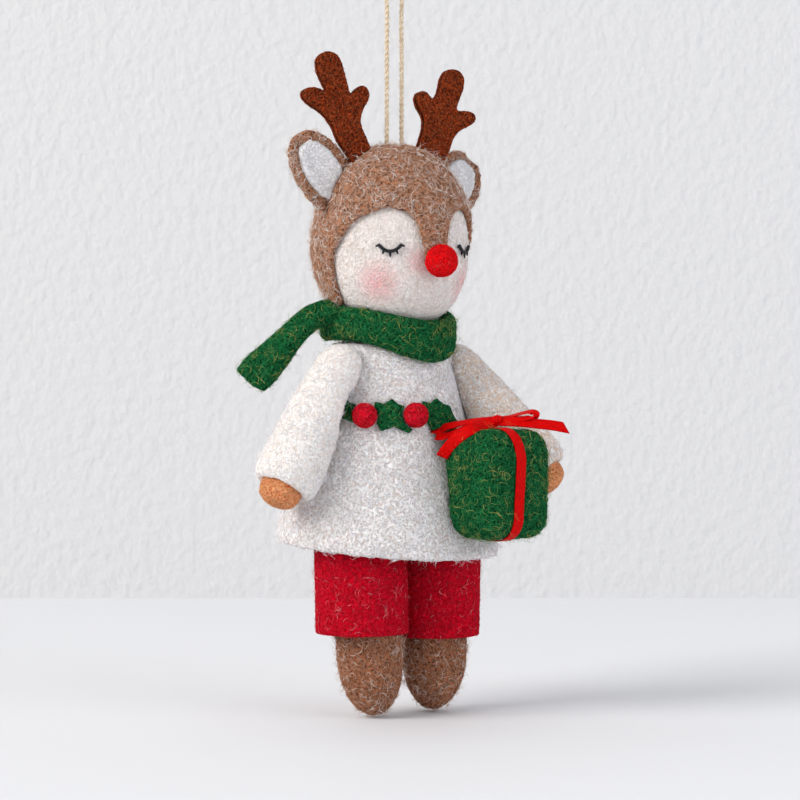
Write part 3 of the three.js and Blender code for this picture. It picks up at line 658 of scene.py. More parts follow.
@dataclass(frozen=True)
class WoolFelt(Finish):
    """Felted wool: a surface with patches, pits, flecks and a web of strands, and the fibres on it.

    The hollow colour is random tone over the soft patches and painted shade in the pits, which the bump also
    sinks. The shares say how strongly each pattern shows, and the grain how many times finer than usual the
    small ones are. The patches' size and the relief are in millimetres. A web is given by how far apart its
    strands are and by their width as a share of that.
    """

    wool: Rgba
    # hollow: random tone over the patches, and painted shade in the pits.
    hollow: Rgba
    fleck: Rgba
    lint: Rgba
    fibres: Stops
    patch_and_pit_shade_share: float = 0.6
    fleck_share: float = 0.5
    lint_share: float = 0.5
    patch_size: float = 6.0
    relief: float = 0.2
    sheen: float = 0.06
    gloss: float = 0.1
    grain: float = 1.0

    PATCHES = Speckle(scale=1.0, detail=3.0, start=0.36, full=0.66, strength=0.25)
    PITS = Speckle(scale=1.5, detail=3.0, start=0.54, full=0.38)
    FLECKS = Speckle(scale=2.1, detail=2.0, start=0.55, full=0.64)
    FLECKS_AT = (31.0, 7.0, 11.0)
    FINE_WEB = (0.75, 0.14)
    COARSE_WEB = (1.3, 0.09)
    COARSE_AT = (9.0, 17.0, 5.0)
    WEB_BREAKS = Speckle(scale=0.7, detail=1.0, start=0.38, full=0.6)
    WEB_DRIFT = 1.6
    WEB_DRIFT_SCALE = 0.9
    WEB_EDGE = 0.2
    ROUGH_SCALE = 2.6
    ROUGH_SHARE = 0.5

    def web(self, graph: ShaderGraph, at: Socket, size: float, width: float) -> Socket:
        """Draws a broken net of crossing strands.

        Args:
            graph: The material.
            at: The point in millimetres.
            size: How far apart the strands are, in millimetres.
            width: Their width as a share of that.

        Returns:
            One on a strand and zero between the strands.
        """
        inputs = {"Vector": at, "Scale": self.WEB_DRIFT_SCALE / size, "Detail": 1.0}
        drift = graph.add("ShaderNodeTexNoise", inputs).outputs["Color"]
        centred = graph.vector("SUBTRACT", drift, (0.5, 0.5, 0.5))
        moved = graph.vector("ADD", at, graph.scaled(centred, self.WEB_DRIFT * size))
        inputs = {"Vector": moved, "Scale": 1 / size}
        cells = graph.add("ShaderNodeTexVoronoi", inputs, feature="DISTANCE_TO_EDGE").outputs["Distance"]
        strands = graph.remap(cells, width, width * self.WEB_EDGE)
        return graph.math("MULTIPLY", strands, self.WEB_BREAKS.draw(graph, at, 1 / size))

    def pattern(self, graph: ShaderGraph) -> tuple[Socket, Socket]:
        """Draws the wool's colour and its height.

        Args:
            graph: The material.

        Returns:
            The colour, and the height from 0 to 1.
        """
        at = graph.place()
        patches = self.PATCHES.draw(graph, at, 1 / self.patch_size)
        pits = self.PITS.draw(graph, at, self.grain)
        # The hollow colour goes on as random tone over the patches and as painted shade in the pits.
        patch_and_pit_shade = graph.math("MAXIMUM", patches, pits)
        tone = graph.mix(graph.math("MULTIPLY", patch_and_pit_shade, self.patch_and_pit_shade_share), self.wool, self.hollow)
        flecks = self.FLECKS.draw(graph, graph.vector("ADD", at, self.FLECKS_AT), self.grain)
        tone = graph.mix(graph.math("MULTIPLY", flecks, self.fleck_share), tone, self.fleck)
        lint = graph.math("MAXIMUM", *self.webs(graph, at))
        tone = graph.mix(graph.math("MULTIPLY", lint, self.lint_share), tone, self.lint)
        rough = graph.math("MULTIPLY", graph.noise(at, self.ROUGH_SCALE, 3.0), self.ROUGH_SHARE)
        return tone, graph.math("SUBTRACT", graph.math("ADD", rough, lint), pits)

    def webs(self, graph: ShaderGraph, at: Socket) -> tuple[Socket, Socket]:
        """Draws the fine web and the coarse one."""
        (fine, fine_width), (coarse, coarse_width) = self.FINE_WEB, self.COARSE_WEB
        moved = graph.vector("ADD", at, self.COARSE_AT)
        return (
            self.web(graph, at, fine / self.grain, fine_width),
            self.web(graph, moved, coarse / self.grain, coarse_width),
        )

    def surface(self) -> bpy.types.Material:
        """Makes the material of the felt's surface.

        Returns:
            The material.
        """
        graph = ShaderGraph(self.name)
        tone, height = self.pattern(graph)
        graph.set(Base_Color=tone, Roughness=0.95, Specular_IOR_Level=self.gloss)
        graph.set(Sheen_Weight=self.sheen, Sheen_Roughness=0.5, Sheen_Tint=self.lint)
        graph.bump(height, self.relief)
        return graph.material

    def strand(self) -> bpy.types.Material:
        """Makes the material of the loose fibres.

        Returns:
            The material.
        """
        graph = ShaderGraph(f"{self.name}_fibre")
        tone = graph.ramp(graph.attribute("fibre_tone"), self.fibres)
        graph.set(Base_Color=tone, Roughness=0.9, Specular_IOR_Level=self.gloss)
        return graph.material


@dataclass(frozen=True)
class Blush:
    """A round patch of pink on the face, in millimetres."""

    middle: Point
    radius: float
    strength: float


@dataclass(frozen=True)
class BlushedFelt(WoolFelt):
    """The face's wool, with some blushes that fade from their core to past their radius."""

    blush: Rgba = colour(0xE88C94)
    blushes: tuple[Blush, ...] = ()

    CORE = 0.5
    EDGE = 1.0
    UNEVEN = 2.0
    UNEVEN_SCALE = 0.9

    def pattern(self, graph: ShaderGraph) -> tuple[Socket, Socket]:
        """Draws the wool, and the blushes over it.

        Args:
            graph: The material.

        Returns:
            The colour, and the height from 0 to 1.
        """
        tone, height = super().pattern(graph)
        at = graph.place()
        for spot in self.blushes:
            inputs = {0: at, 1: spot.middle}
            away = graph.add("ShaderNodeVectorMath", inputs, operation="DISTANCE").outputs["Value"]
            wobble = graph.math("MULTIPLY", graph.noise(at, self.UNEVEN_SCALE, 2.0), self.UNEVEN)
            edge = spot.radius + self.EDGE
            share = graph.remap(graph.math("ADD", away, wobble), edge, self.CORE, spot.strength)
            tone = graph.mix(share, tone, self.blush)
        return tone, height


@dataclass(frozen=True)
class SeamedFelt(WoolFelt):
    """Stiff felt in two sheets, with a dark seam where the edge shows between them."""

    seam: Rgba = colour(0x140604)

    def pattern(self, graph: ShaderGraph) -> tuple[Socket, Socket]:
        """Draws the wool, and the seam over it.

        Args:
            graph: The material.

        Returns:
            The colour, and the height from 0 to 1.
        """
        tone, height = super().pattern(graph)
        near = graph.attribute("seam")
        return graph.mix(near, tone, self.seam), graph.math("SUBTRACT", height, near)


@dataclass(frozen=True)
class Nap:
    """How a layer of loose fibres lies on a piece, with its sizes in millimetres.

    So many fibres stand on a square millimetre, each bent by up to the curl in radians and drawn with
    so many points. A share of them are strays, whose free ends stand off by about the stray lift.
    """

    per_square: float = 0.85
    shortest: float = 1.6
    longest: float = 3.8
    thickness: float = 0.1
    curl: float = 5.4
    wander: float = 1.6
    lift: float = 0.14
    stray_share: float = 0.3
    stray_lift: float = 1.1
    points: int = 7


@dataclass(frozen=True)
class Skin:
    """How the surface of a piece is worked, with its sizes in millimetres.

    The solid is made even by voxels and by so many passes of smoothing, swelled by the fullness, and
    roughened by lumps and nubs.
    """

    voxel: float = 0.6
    evened: int = 6
    fullness: float = 0.0
    lump_size: float = 6.0
    lump_height: float = 0.25
    nub_height: float = 0.08


class Body(Enum):
    """The bodies that pieces ride on."""

    HANGER = "hanger"
    DOLL = "doll"
    RIGHT_ARM = "right_arm"
    RIGHT_LEG = "right_leg"
    LEFT_LEG = "left_leg"
    SCARF_TAIL = "scarf_tail"


class Cover:
    """Finds the parts of a surface that other pieces lie against, where no fibres stand.

    A ray leaves each point along its normal and passes through up to TRIES faces. The point is
    covered where the ray meets another piece within REACH, or its own piece again past INSIDE, as it
    does inside a hollow piece. START is how far off a face the ray begins, and FAR is how far it
    looks, all in millimetres.
    """

    REACH = 2.6
    START = 0.05
    TRIES = 6
    INSIDE = 12.0
    FAR = 60.0

    def __init__(self, nodes: dict[str, bpy.types.Object]) -> None:
        """Gathers the faces of all the solids.

        Args:
            nodes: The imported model's nodes.
        """
        points: list[Vector] = []
        faces: list[tuple[int, ...]] = []
        self.owner: list[str] = []
        for name, node in nodes.items():
            first = len(points)
            points.extend(v.co.copy() for v in node.data.vertices)
            for face in node.data.polygons:
                faces.append(tuple(first + i for i in face.vertices))
                self.owner.append(name)
        self.tree = BVHTree.FromPolygons(points, faces)

    def blocked(self, at: Vector, towards: Vector, own: str) -> bool:
        """Says whether another piece lies close over a point.

        Args:
            at: The point.
            towards: The surface's normal there.
            own: The node that the surface belongs to.

        Returns:
            Whether a ray meets another piece within reach, or the far side of the same hollow piece.
        """
        start = at
        gone = 0.0
        step = self.START * MM
        for _ in range(self.TRIES):
            start = start + towards * step
            gone += step
            place, _, face, distance = self.tree.ray_cast(start, towards, self.FAR * MM - gone)
            if face is None:
                return False
            gone += distance
            start = place
            if self.owner[face] == own:
                if gone > self.INSIDE * MM:
                    return True
            elif gone < self.REACH * MM:
                return True
        return False

    def mark(self, piece: bpy.types.Object, own: str) -> None:
        """Stores on each point of a piece whether it is covered.

        Args:
            piece: The piece, at the origin.
            own: The node that it is made from.
        """
        marks = [float(self.blocked(v.co, v.normal, own)) for v in piece.data.vertices]
        store_marks(piece.data, "covered", marks)


class Workshop:
    """Makes, dresses and registers the pieces.

    Each felted piece takes its lumps from its own part of one noise, LUMP_STEP metres from the last
    one's, and its fibres from seeds of its own. Points of a solid closer than MERGED_WITHIN metres
    are one point.
    """

    LUMP_STEP = 0.37
    SEED_STEP = 10
    MERGED_WITHIN = 1e-6

    def __init__(self, frame: dict[str, Any]) -> None:
        """Prepares the trees that all the pieces share.
        """
        self.nodes: dict[str, bpy.types.Object] = frame["nodes"]
        self.cover = Cover(self.nodes)
        self.skin_tree = SkinTree()
        self.fibre_tree = FibreTree()
        self.materials: dict[str, bpy.types.Material] = {}
        self.made = 0
        self.triangles = 0

    def material(self, name: str, make: Callable[[], bpy.types.Material]) -> bpy.types.Material:
        """Returns the material of that name, and makes it the first time."""
        if name not in self.materials:
            self.materials[name] = make()
        return self.materials[name]

    def middle(self, node: str) -> np.ndarray:
        """Returns the middle of a node's bounds, in millimetres."""
        points = points_of(self.nodes[node])
        return (points.min(axis=0) + points.max(axis=0)) / 2

    def cast(self, node: str) -> bpy.types.Object:
        """Copies a node's mesh with its loose triangles merged.

        Args:
            node: The node's name.

        Returns:
            The copy, at the origin.
        """
        mesh = self.nodes[node].data.copy()
        mesh.materials.clear()
        mesh.normals_split_custom_set([(0.0, 0.0, 0.0)] * len(mesh.loops))
        with edited(mesh) as work:
            bmesh.ops.remove_doubles(work, verts=work.verts, dist=self.MERGED_WITHIN)
        return new_object(f"{node}_cast", mesh)

    def felted(self, source: bpy.types.Object, name: str, skin: Skin, felt: WoolFelt) -> bpy.types.Object:
        """Works an object's surface into felt.

        Args:
            source: A closed mesh object, which is used up.
            name: The new piece's name.
            skin: How its surface is worked.
            felt: Its wool.

        Returns:
            The new piece.
        """
        self.made += 1
        remesh = source.modifiers.new("even", "REMESH")
        remesh.mode = "VOXEL"
        remesh.voxel_size = skin.voxel * MM
        smooth = source.modifiers.new("smooth", "SMOOTH")
        smooth.iterations = skin.evened
        piece = self.skin_tree.apply(
            source,
            name,
            fullness=skin.fullness * MM,
            lump_size=skin.lump_size * MM,
            lump_height=skin.lump_height * MM,
            nub_height=skin.nub_height * MM,
            shift=self.made * self.LUMP_STEP,
            finish=self.material(felt.name, felt.surface),
        )
        drop(source)
        return piece

    def fibres(self, piece: bpy.types.Object, nap: Nap, felt: Finish, name: str) -> bpy.types.Object:
        """Lays loose fibres on a piece.

        Args:
            piece: The piece, with its covered parts marked.
            nap: How they lie.
            felt: The finish that they are of.
            name: The fibres' name.

        Returns:
            The fibres as a piece of their own.
        """
        return self.fibre_tree.apply(
            piece,
            name,
            per_square=nap.per_square / MM**2,
            shortest=nap.shortest * MM,
            longest=nap.longest * MM,
            thickness=nap.thickness * MM,
            curl=nap.curl,
            wander=nap.wander * MM,
            lift=nap.lift * MM,
            stray_share=nap.stray_share,
            stray_lift=nap.stray_lift * MM,
            points=nap.points,
            seed=self.made * self.SEED_STEP,
            finish=self.material(f"{felt.name}_fibre", felt.strand),
        )

    def register(self, piece: bpy.types.Object, body: Body, replaced: Sequence[str] = ()) -> None:
        """Puts a piece on its body and the nodes that it stands for.

        Args:
            piece: The piece.
            body: The body that it rides on.
            replaced: The nodes that it replaces.
        """
        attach(piece, body.value)
        if replaced:
            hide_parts(*replaced)
        triangles = sum(len(face.vertices) - 2 for face in piece.data.polygons)
        self.triangles += triangles
        LOG.info("%s rides on %s with %d triangles", piece.name, body.value, triangles)

    def place(self, piece: bpy.types.Object, node: str, body: Body, finish: Finish) -> None:
        """Gives a built piece its one material and puts it in the place of a node."""
        piece.data.materials.append(self.material(finish.name, finish.surface))
        self.register(piece, body, [node])

    def plain(self, node: str, body: Body, finish: Finish) -> None:
        """Replaces a node with a smooth copy of itself in its own finish.

        Args:
            node: The node.
            body: The body that it rides on.
            finish: Its finish.
        """
        source = self.cast(node)
        piece = plain_copy(source, f"{node}_piece")
        drop(source)
        piece.data.shade_smooth()
        self.place(piece, node, body, finish)

    def dress(
        self,
        node: str,
        body: Body,
        felt: WoolFelt,
        skin: Skin,
        naps: Sequence[Nap] = (),
        source: bpy.types.Object | None = None,
    ) -> bpy.types.Object:
        """Replaces a node with its felted piece and the fibres on it.

        Args:
            node: The node.
            body: The body that it rides on.
            felt: The wool.
            skin: How its surface is worked.
            naps: The layers of fibres on it.
            source: A mesh to work instead of the node's own.

        Returns:
            The felted piece.
        """
        piece = self.felted(source or self.cast(node), f"{node}_felt", skin, felt)
        self.cover.mark(piece, node)
        self.register(piece, body, [node])
        for layer, nap in enumerate(naps, 1):
            self.register(self.fibres(piece, nap, felt, f"{node}_fibres_{layer}"), body)
        return piece


@dataclass(frozen=True)
class Lamp:
    """A square soft lamp, with its place to the right, ahead and above the doll's middle."""

    name: str
    right: float
    ahead: float
    up: float
    size: float
    power: float
    tone: Rgba


@dataclass
class Studio:
    """The camera, the lamps, the floor and the backdrop, in millimetres."""

    bearing: float = -37.0
    distance: float = 700.0
    eye_height: float = -93.9
    aim: Point = (2.4, 0.8, -110.9)
    lens: float = 126.0
    sensor: float = 36.0
    clip_start: float = 10.0
    axis_y: float = 2.6
    floor_height: float = -189.4
    wall_distance: float = 304.0
    room_size: float = 6000.0
    floor_tone: Rgba = colour(0xE4E5E8)
    wall_tone: Rgba = colour(0xD3D3D4)
    wall_relief: float = 0.7
    weave_squeeze: Point = (1.0, 1.0, 0.8)
    weave_scale: float = 0.3
    weave_detail: float = 1.5
    sky: float = 0.5
    sky_tone: Rgba = colour(0xF4F6FA)
    lamps: tuple[Lamp, ...] = (
        Lamp("key", -1900.0, -1200.0, 1350.0, size=1500.0, power=60.0, tone=colour(0xFFFCF7)),
        Lamp("fill", 700.0, -500.0, 160.0, size=700.0, power=3.6, tone=colour(0xF6F9FF)),
    )

    @property
    def ahead(self) -> Vector:
        """The level direction in which the camera looks."""
        turn = math.radians(self.bearing)
        return Vector((-math.sin(turn), math.cos(turn), 0.0))

    @property
    def right(self) -> Vector:
        """The level direction to the right of the picture."""
        return Vector((self.ahead.y, -self.ahead.x, 0.0))

    def at(self, right: float, ahead: float, up: float) -> Vector:
        """Returns a place in metres from millimetres to the right, ahead and above the middle."""
        middle = Vector((0.0, self.axis_y, self.aim[2]))
        return (middle + self.right * right + self.ahead * ahead + Vector((0.0, 0.0, up))) * MM

    def stand(self, name: str, data: bpy.types.ID, place: Vector, facing: Vector) -> bpy.types.Object:
        """Puts a camera or a lamp at a place and turns it.

        Args:
            name: Its name.
            data: The camera's or the lamp's data.
            place: Its place in metres.
            facing: The direction in which it looks.

        Returns:
            The new object.
        """
        item = bpy.data.objects.new(name, data)
        item.location = place
        item.rotation_euler = facing.to_track_quat("-Z", "Y").to_euler()
        bpy.context.scene.collection.objects.link(item)
        return item

    def place_camera(self) -> None:
        """Places the camera and makes it the scene's own."""
        data = bpy.data.cameras.new("camera")
        data.lens = self.lens
        data.sensor_width = self.sensor
        data.clip_start = self.clip_start * MM
        place = Vector((0.0, self.axis_y, self.eye_height)) - self.ahead * self.distance
        bpy.context.scene.camera = self.stand("camera", data, place * MM, Vector(self.aim) - place)

    def light(self) -> None:
        """Places the lamps and adds the even light of the room."""
        for lamp in self.lamps:
            data = bpy.data.lights.new(lamp.name, "AREA")
            data.shape = "SQUARE"
            data.size = lamp.size * MM
            data.energy = lamp.power
            data.color = lamp.tone[:3]
            place = self.at(lamp.right, lamp.ahead, lamp.up)
            self.stand(lamp.name, data, place, self.at(0.0, 0.0, 0.0) - place)
        world = bpy.data.worlds.new("room")
        world.use_nodes = True
        sky = world.node_tree.nodes["Background"]
        sky.inputs["Color"].default_value = self.sky_tone
        sky.inputs["Strength"].default_value = self.sky
        bpy.context.scene.world = world

    def plane(self, name: str, corners: Sequence[Vector], tone: Rgba, relief: float = 0.0) -> None:
        """Adds a sheet of the stage.

        Args:
            name: The sheet's name.
            corners: Its four corners in metres.
            tone: Its colour.
            relief: How far its weave stands out.
        """
        graph = ShaderGraph(name)
        graph.set(Base_Color=tone, Roughness=0.7, Specular_IOR_Level=0.2)
        if relief:
            squeezed = graph.vector("MULTIPLY", graph.place(), self.weave_squeeze)
            graph.bump(graph.noise(squeezed, self.weave_scale, self.weave_detail), relief)
        mesh = bpy.data.meshes.new(name)
        mesh.from_pydata([tuple(c) for c in corners], [], [(0, 1, 2, 3)])
        mesh.materials.append(graph.material)
        new_object(name, mesh)

    def room(self) -> None:
        """Adds the floor and the backdrop."""
        half = self.room_size / 2
        low = self.floor_height - self.aim[2]
        far = self.wall_distance
        ends = [(-half, -half), (half, -half), (half, far), (-half, far)]
        self.plane("floor", [self.at(x, y, low) for x, y in ends], self.floor_tone)
        wall = [(-half, low), (half, low), (half, half), (-half, half)]
        self.plane("backdrop", [self.at(x, far, z) for x, z in wall], self.wall_tone, self.wall_relief)

    def build(self) -> None:
        """Builds the whole studio."""
        bpy.context.scene.view_settings.view_transform = "Standard"
        self.place_camera()
        self.light()
        self.room()


def steps_of(line: np.ndarray) -> np.ndarray:
    """Returns the distance from each point of a line to the next."""
    return np.linalg.norm(np.diff(line, axis=0), axis=1)


def travelled(line: np.ndarray) -> np.ndarray:
    """Returns how far along a line each of its points lies."""
    return np.concatenate([[0.0], np.cumsum(steps_of(line))])


def directions(line: np.ndarray) -> np.ndarray:
    """Returns the unit direction along a line at each of its points."""
    along = np.gradient(line, axis=0)
    return along / np.linalg.norm(along, axis=1)[:, None]


def read_off(rows: np.ndarray, marks: np.ndarray, wanted: np.ndarray) -> np.ndarray:
    """Reads rows of three numbers between the marks at which they are given."""
    return np.stack([np.interp(wanted, marks, rows[:, k]) for k in range(3)], axis=1)


def through(points: Sequence[Sequence[float]], steps: int) -> np.ndarray:
    """Draws a smooth curve through points, as a centripetal spline does.

    Args:
        points: The points, in millimetres.
        steps: How many steps there are between two points.

    Returns:
        The points of the curve, one row each.
    """
    given = np.asarray(points, float)
    ends = np.vstack([2 * given[0] - given[1], given, 2 * given[-1] - given[-2]])
    out = [given[0]]
    for i in range(len(given) - 1):
        group = ends[i : i + 4]
        times = np.concatenate([[0.0], np.cumsum(steps_of(group) ** 0.5)])
        for share in np.linspace(0.0, 1.0, steps + 1)[1:]:
            at = times[1] + share * (times[2] - times[1])
            level = list(group)
            for width in (1, 2, 3):
                level = [
                    (level[k] * (times[k + width] - at) + level[k + 1] * (at - times[k]))
                    / (times[k + width] - times[k])
                    for k in range(len(level) - 1)
                ]
            out.append(level[0])
    return np.array(out)


def evenly(points: np.ndarray, count: int) -> np.ndarray:
    """Spreads points evenly along a line.

    Args:
        points: The line's points, one row each.
        count: How many points to return.

    Returns:
        The new points.
    """
    lengths = travelled(points)
    return read_off(points, lengths, np.linspace(0.0, lengths[-1], count))


def tube(line: np.ndarray, radius: float, sides: int) -> np.ndarray:
    """Lays rings of points round a line without twisting them.

    Args:
        line: The line's points in millimetres, one row each.
        radius: The rings' radius.
        sides: How many points a ring has.

    Returns:
        The points, ring after ring.
    """
    along = directions(line)
    side = np.cross(along[0], (0.3, 0.8, 0.52))
    turns = np.arange(sides) * TURN / sides
    rings = []
    for point, tangent in zip(line, along):
        side = side - tangent * side.dot(tangent)
        side /= np.linalg.norm(side)
        up = np.cross(tangent, side)
        rings.append(point + radius * (np.outer(np.cos(turns), side) + np.outer(np.sin(turns), up)))
    return np.vstack(rings)


def seen_from(degrees: float) -> np.ndarray:
    """Returns the directions to the right, to the front and up for someone who looks at the doll.

    Args:
        degrees: How far that person stands from the doll's front, to its left.

    Returns:
        Three unit vectors, one row each.
    """
    turn = math.radians(degrees)
    right = (math.cos(turn), math.sin(turn), 0.0)
    front = (math.sin(turn), -math.cos(turn), 0.0)
    return np.array([right, front, (0.0, 0.0, 1.0)])


@dataclass(frozen=True)
class TwineFinish(Finish):
    """Dry beige twine, with fine fibres that run with its twist."""

    name: str = "twine"
    slot: str = "jute"
    light: Rgba = colour(0xDECBAE)
    dark: Rgba = colour(0xB79A74)
    pale: Rgba = colour(0xF0E6D6)
    stretch: Point = (4.0, 4.0, 1.1)
    fibre_scale: float = 1.1
    fibre_twist: float = 0.6
    ramp: Point = (0.3, 0.5, 0.68)
    patches: Speckle = Speckle(scale=0.35, detail=2.0, start=0.4, full=0.7, strength=0.35)
    relief: float = 0.12

    def surface(self) -> bpy.types.Material:
        """Makes the material of the plies.

        Returns:
            The material.
        """
        graph = ShaderGraph(self.name)
        at = graph.place()
        stretched = graph.vector("MULTIPLY", at, self.stretch)
        fibres = graph.noise(stretched, self.fibre_scale, 3.0, self.fibre_twist)
        tone = graph.ramp(fibres, tuple(zip(self.ramp, (self.dark, self.light, self.pale))))
        tone = graph.mix(self.patches.draw(graph, at), tone, self.dark)
        graph.set(Base_Color=tone, Roughness=0.85, Specular_IOR_Level=0.2, Sheen_Weight=0.2)
        graph.bump(fibres, self.relief)
        return graph.material

    def strand(self) -> bpy.types.Material:
        """Makes the material of the stray hairs.

        Returns:
            The material.
        """
        graph = ShaderGraph(f"{self.name}_fibre")
        tone = graph.ramp(graph.attribute("fibre_tone"), ((0.0, self.light), (1.0, self.pale)))
        graph.set(Base_Color=tone, Roughness=0.8)
        return graph.material


@dataclass
class Hanger:
    """The loop of two-ply twine that the doll hangs on, in millimetres.

    The heights run from the crown, as in the solid, and the loop's top lies round the origin. Each
    ease is how far a strand has flared out and how much of the flare's height is still left.
    """

    radius: float = 0.6
    hook_below_top: float = 1.6
    spacing: float = 4.6
    rise: float = 49.0
    loop_radius: float = 3.9
    flare: float = 10.0
    eases: tuple[tuple[float, float], ...] = ((0.45, 0.45), (0.9, 0.1))
    gap: float = 0.45
    sunk: float = 0.9
    ply_radius: float = 0.34
    twist: float = 2.9
    sides: int = 8
    steps: int = 12
    rings_per_turn: int = 10
    finish: TwineFinish = TwineFinish()
    hairs: Nap = Nap(
        per_square=0.9,
        shortest=1.2,
        longest=4.0,
        thickness=0.06,
        curl=2.6,
        wander=0.9,
        lift=0.1,
        stray_share=0.5,
        stray_lift=1.2,
    )

    @property
    def crown(self) -> float:
        """The height of the crown."""
        return -(self.rise - self.hook_below_top)

    def route(self) -> np.ndarray:
        """Repeats the points of the solid's route, up one strand and down the other.

        Returns:
            The points, one row each.
        """
        half = self.spacing / 2
        bend = self.rise - self.loop_radius
        straight = bend - self.flare - self.gap
        strand = [(half, self.gap - self.sunk)]
        strand += [(half, self.gap + straight * share) for share in (0, 1 / 3, 2 / 3, 1)]
        for out, down in self.eases:
            strand.append((half + (self.loop_radius - half) * out, bend - self.flare * down))
        turns = [step * TURN / 16 for step in range(1, 8)]
        arc = [(self.loop_radius * math.cos(a), bend + self.loop_radius * math.sin(a)) for a in turns]
        points = [*strand, *arc, *((-x, z) for x, z in reversed(strand))]
        return np.array([(x, 0.0, self.crown + z) for x, z in points])

    def plies(self, line: np.ndarray) -> tuple[np.ndarray, Faces]:
        """Winds two plies round a line.

        Args:
            line: The twine's own line, with even steps.

        Returns:
            The points and faces of both plies.
        """
        side = np.tile((0.0, 1.0, 0.0), (len(line), 1))
        over = np.cross(directions(line), side)
        turns = np.linspace(0.0, steps_of(line).sum() / self.twist * TURN, len(line))
        out = self.radius - self.ply_radius
        points: list[np.ndarray] = []
        faces: Faces = []
        for start in (0.0, math.pi):
            angle = (turns + start)[:, None]
            centre = line + out * (np.cos(angle) * side + np.sin(angle) * over)
            first = sum(len(p) for p in points)
            points.append(tube(centre, self.ply_radius, self.sides))
            faces.extend([first + i for i in face] for face in shell_faces(len(line), self.sides))
        return np.vstack(points), faces

    def build(self, shop: Workshop) -> None:
        """Makes the twine and its stray hairs.

        Args:
            shop: The workshop that registers the pieces.
        """
        line = through(self.route(), self.steps)
        length = float(steps_of(line).sum())
        even = evenly(line, int(length / self.twist * self.rings_per_turn))
        twine = mesh_object("twine", *self.plies(even))
        twine.data.materials.append(shop.material(self.finish.name, self.finish.surface))
        twine.data.attributes.new("covered", "FLOAT", "POINT")
        shop.made += 1
        hairs = shop.fibres(twine, self.hairs, self.finish, "twine_hairs")
        shop.register(twine, Body.HANGER, ["hanger_cord"])
        shop.register(hairs, Body.HANGER)


BROWN = WoolFelt(
    "brown_wool",
    slot="brown_wool",
    wool=colour(0xA86E4E),
    hollow=colour(0x54301E),
    fleck=colour(0xCC9470),
    lint=colour(0xD2AE98),
    fibres=stops((0.0, 0xAE7E60), (0.3, 0xCCAA94), (0.6, 0xE6D4CA), (1.0, 0xFAF5F2)),
    patch_and_pit_shade_share=1.0,
    lint_share=0.6,
)
DUSKY = replace(
    BROWN,
    name="leg_wool",
    wool=colour(0xA06142),
    lint=colour(0xB88A6E),
    fibres=stops((0.0, 0x9E6A48), (0.45, 0xBE9078), (0.8, 0xD6BCAC), (1.0, 0xF0E6DE)),
)
CREAM = BlushedFelt(
    "cream_wool",
    slot="cream_wool",
    wool=colour(0xE6DDD9),
    hollow=colour(0xCCBBAF),
    fleck=colour(0xE6CDB6),
    lint=colour(0xFDFAF8),
    fibres=stops((0.0, 0xF1EAE4), (0.6, 0xFFFFFF), (0.9, 0xE8D6C6)),
    patch_and_pit_shade_share=0.35,
    fleck_share=0.3,
    relief=0.12,
)
WHITE = WoolFelt(
    "tunic_wool",
    slot="tunic_wool",
    wool=colour(0xF5F0F1),
    hollow=colour(0xB29C8C),
    fleck=colour(0xE8D0BE),
    lint=colour(0xFFFFFF),
    fibres=stops((0.0, 0xF4F1F6), (0.5, 0xFFFFFF), (0.85, 0xE8E6F0), (1.0, 0xEAD8CA)),
    patch_and_pit_shade_share=0.62,
    fleck_share=0.4,
    lint_share=0.95,
)
BLEACHED = replace(
    WHITE,
    name="sleeve_wool",
    wool=colour(0xEDE7E3),
    hollow=colour(0xD0BCAE),
    fleck=colour(0xE9C9AE),
    patch_and_pit_shade_share=0.5,
    relief=0.12,
)
# Painted shade: the left sleeve's wool is darker and warmer than the right one's, for the arm that is turned
# from the key lamp.
SHADED = replace(BLEACHED, name="left_sleeve_wool", wool=colour(0xDAC4B2), hollow=colour(0xB89E8A))
UNDYED = replace(WHITE, name="core_wool", slot="core_wool", wool=colour(0xD8CFC2))
RUST = SeamedFelt(
    "antler_felt",
    slot="antler_felt",
    wool=colour(0x842F10),
    hollow=colour(0x33100A),
    fleck=colour(0xB45630),
    lint=colour(0xB05E3C),
    fibres=stops((0.0, 0x5A2010), (0.6, 0x84401F), (1.0, 0xA86C4A)),
    patch_and_pit_shade_share=1.0,
    fleck_share=0.7,
    lint_share=0.3,
    patch_size=3.0,
    sheen=0.0,
    gloss=0.03,
)
GREEN = WoolFelt(
    "green_felt",
    slot="green_felt",
    wool=colour(0x0F4F29),
    hollow=colour(0x031E10),
    fleck=colour(0x2A8A50),
    lint=colour(0x2F7D4A),
    fibres=stops((0.0, 0x14603A), (0.4, 0x2E8A54), (0.65, 0x5E8E50), (1.0, 0xB4AE60)),
    patch_and_pit_shade_share=1.0,
    fleck_share=0.6,
    lint_share=0.45,
    sheen=0.0,
    gloss=0.03,
)
RED = WoolFelt(
    "red_felt",
    slot="red_felt",
    wool=colour(0xC80620),
    hollow=colour(0x7E0310),
    fleck=colour(0xD63242),
    lint=colour(0xC82034),
    fibres=stops((0.0, 0xB80E22), (0.8, 0xD23448), (1.0, 0xEFA6AC)),
    lint_share=0.3,
    sheen=0.0,
    gloss=0.02,
)
SCARLET = WoolFelt(
    "red_wool",
    slot="red_wool",
    wool=colour(0xEC0810),
    hollow=colour(0xA80408),
    fleck=colour(0xE63036),
    lint=colour(0xEA2A2C),
    fibres=stops((0.0, 0xD60C14), (0.85, 0xE22A2E), (1.0, 0xEE807C)),
    lint_share=0.25,
    sheen=0.0,
    gloss=0.02,
)
CRIMSON = replace(
    SCARLET,
    name="berry_wool",
    wool=colour(0xCE1228),
    hollow=colour(0x8A0616),
    fleck=colour(0xDC3446),
    patch_and_pit_shade_share=0.8,
)
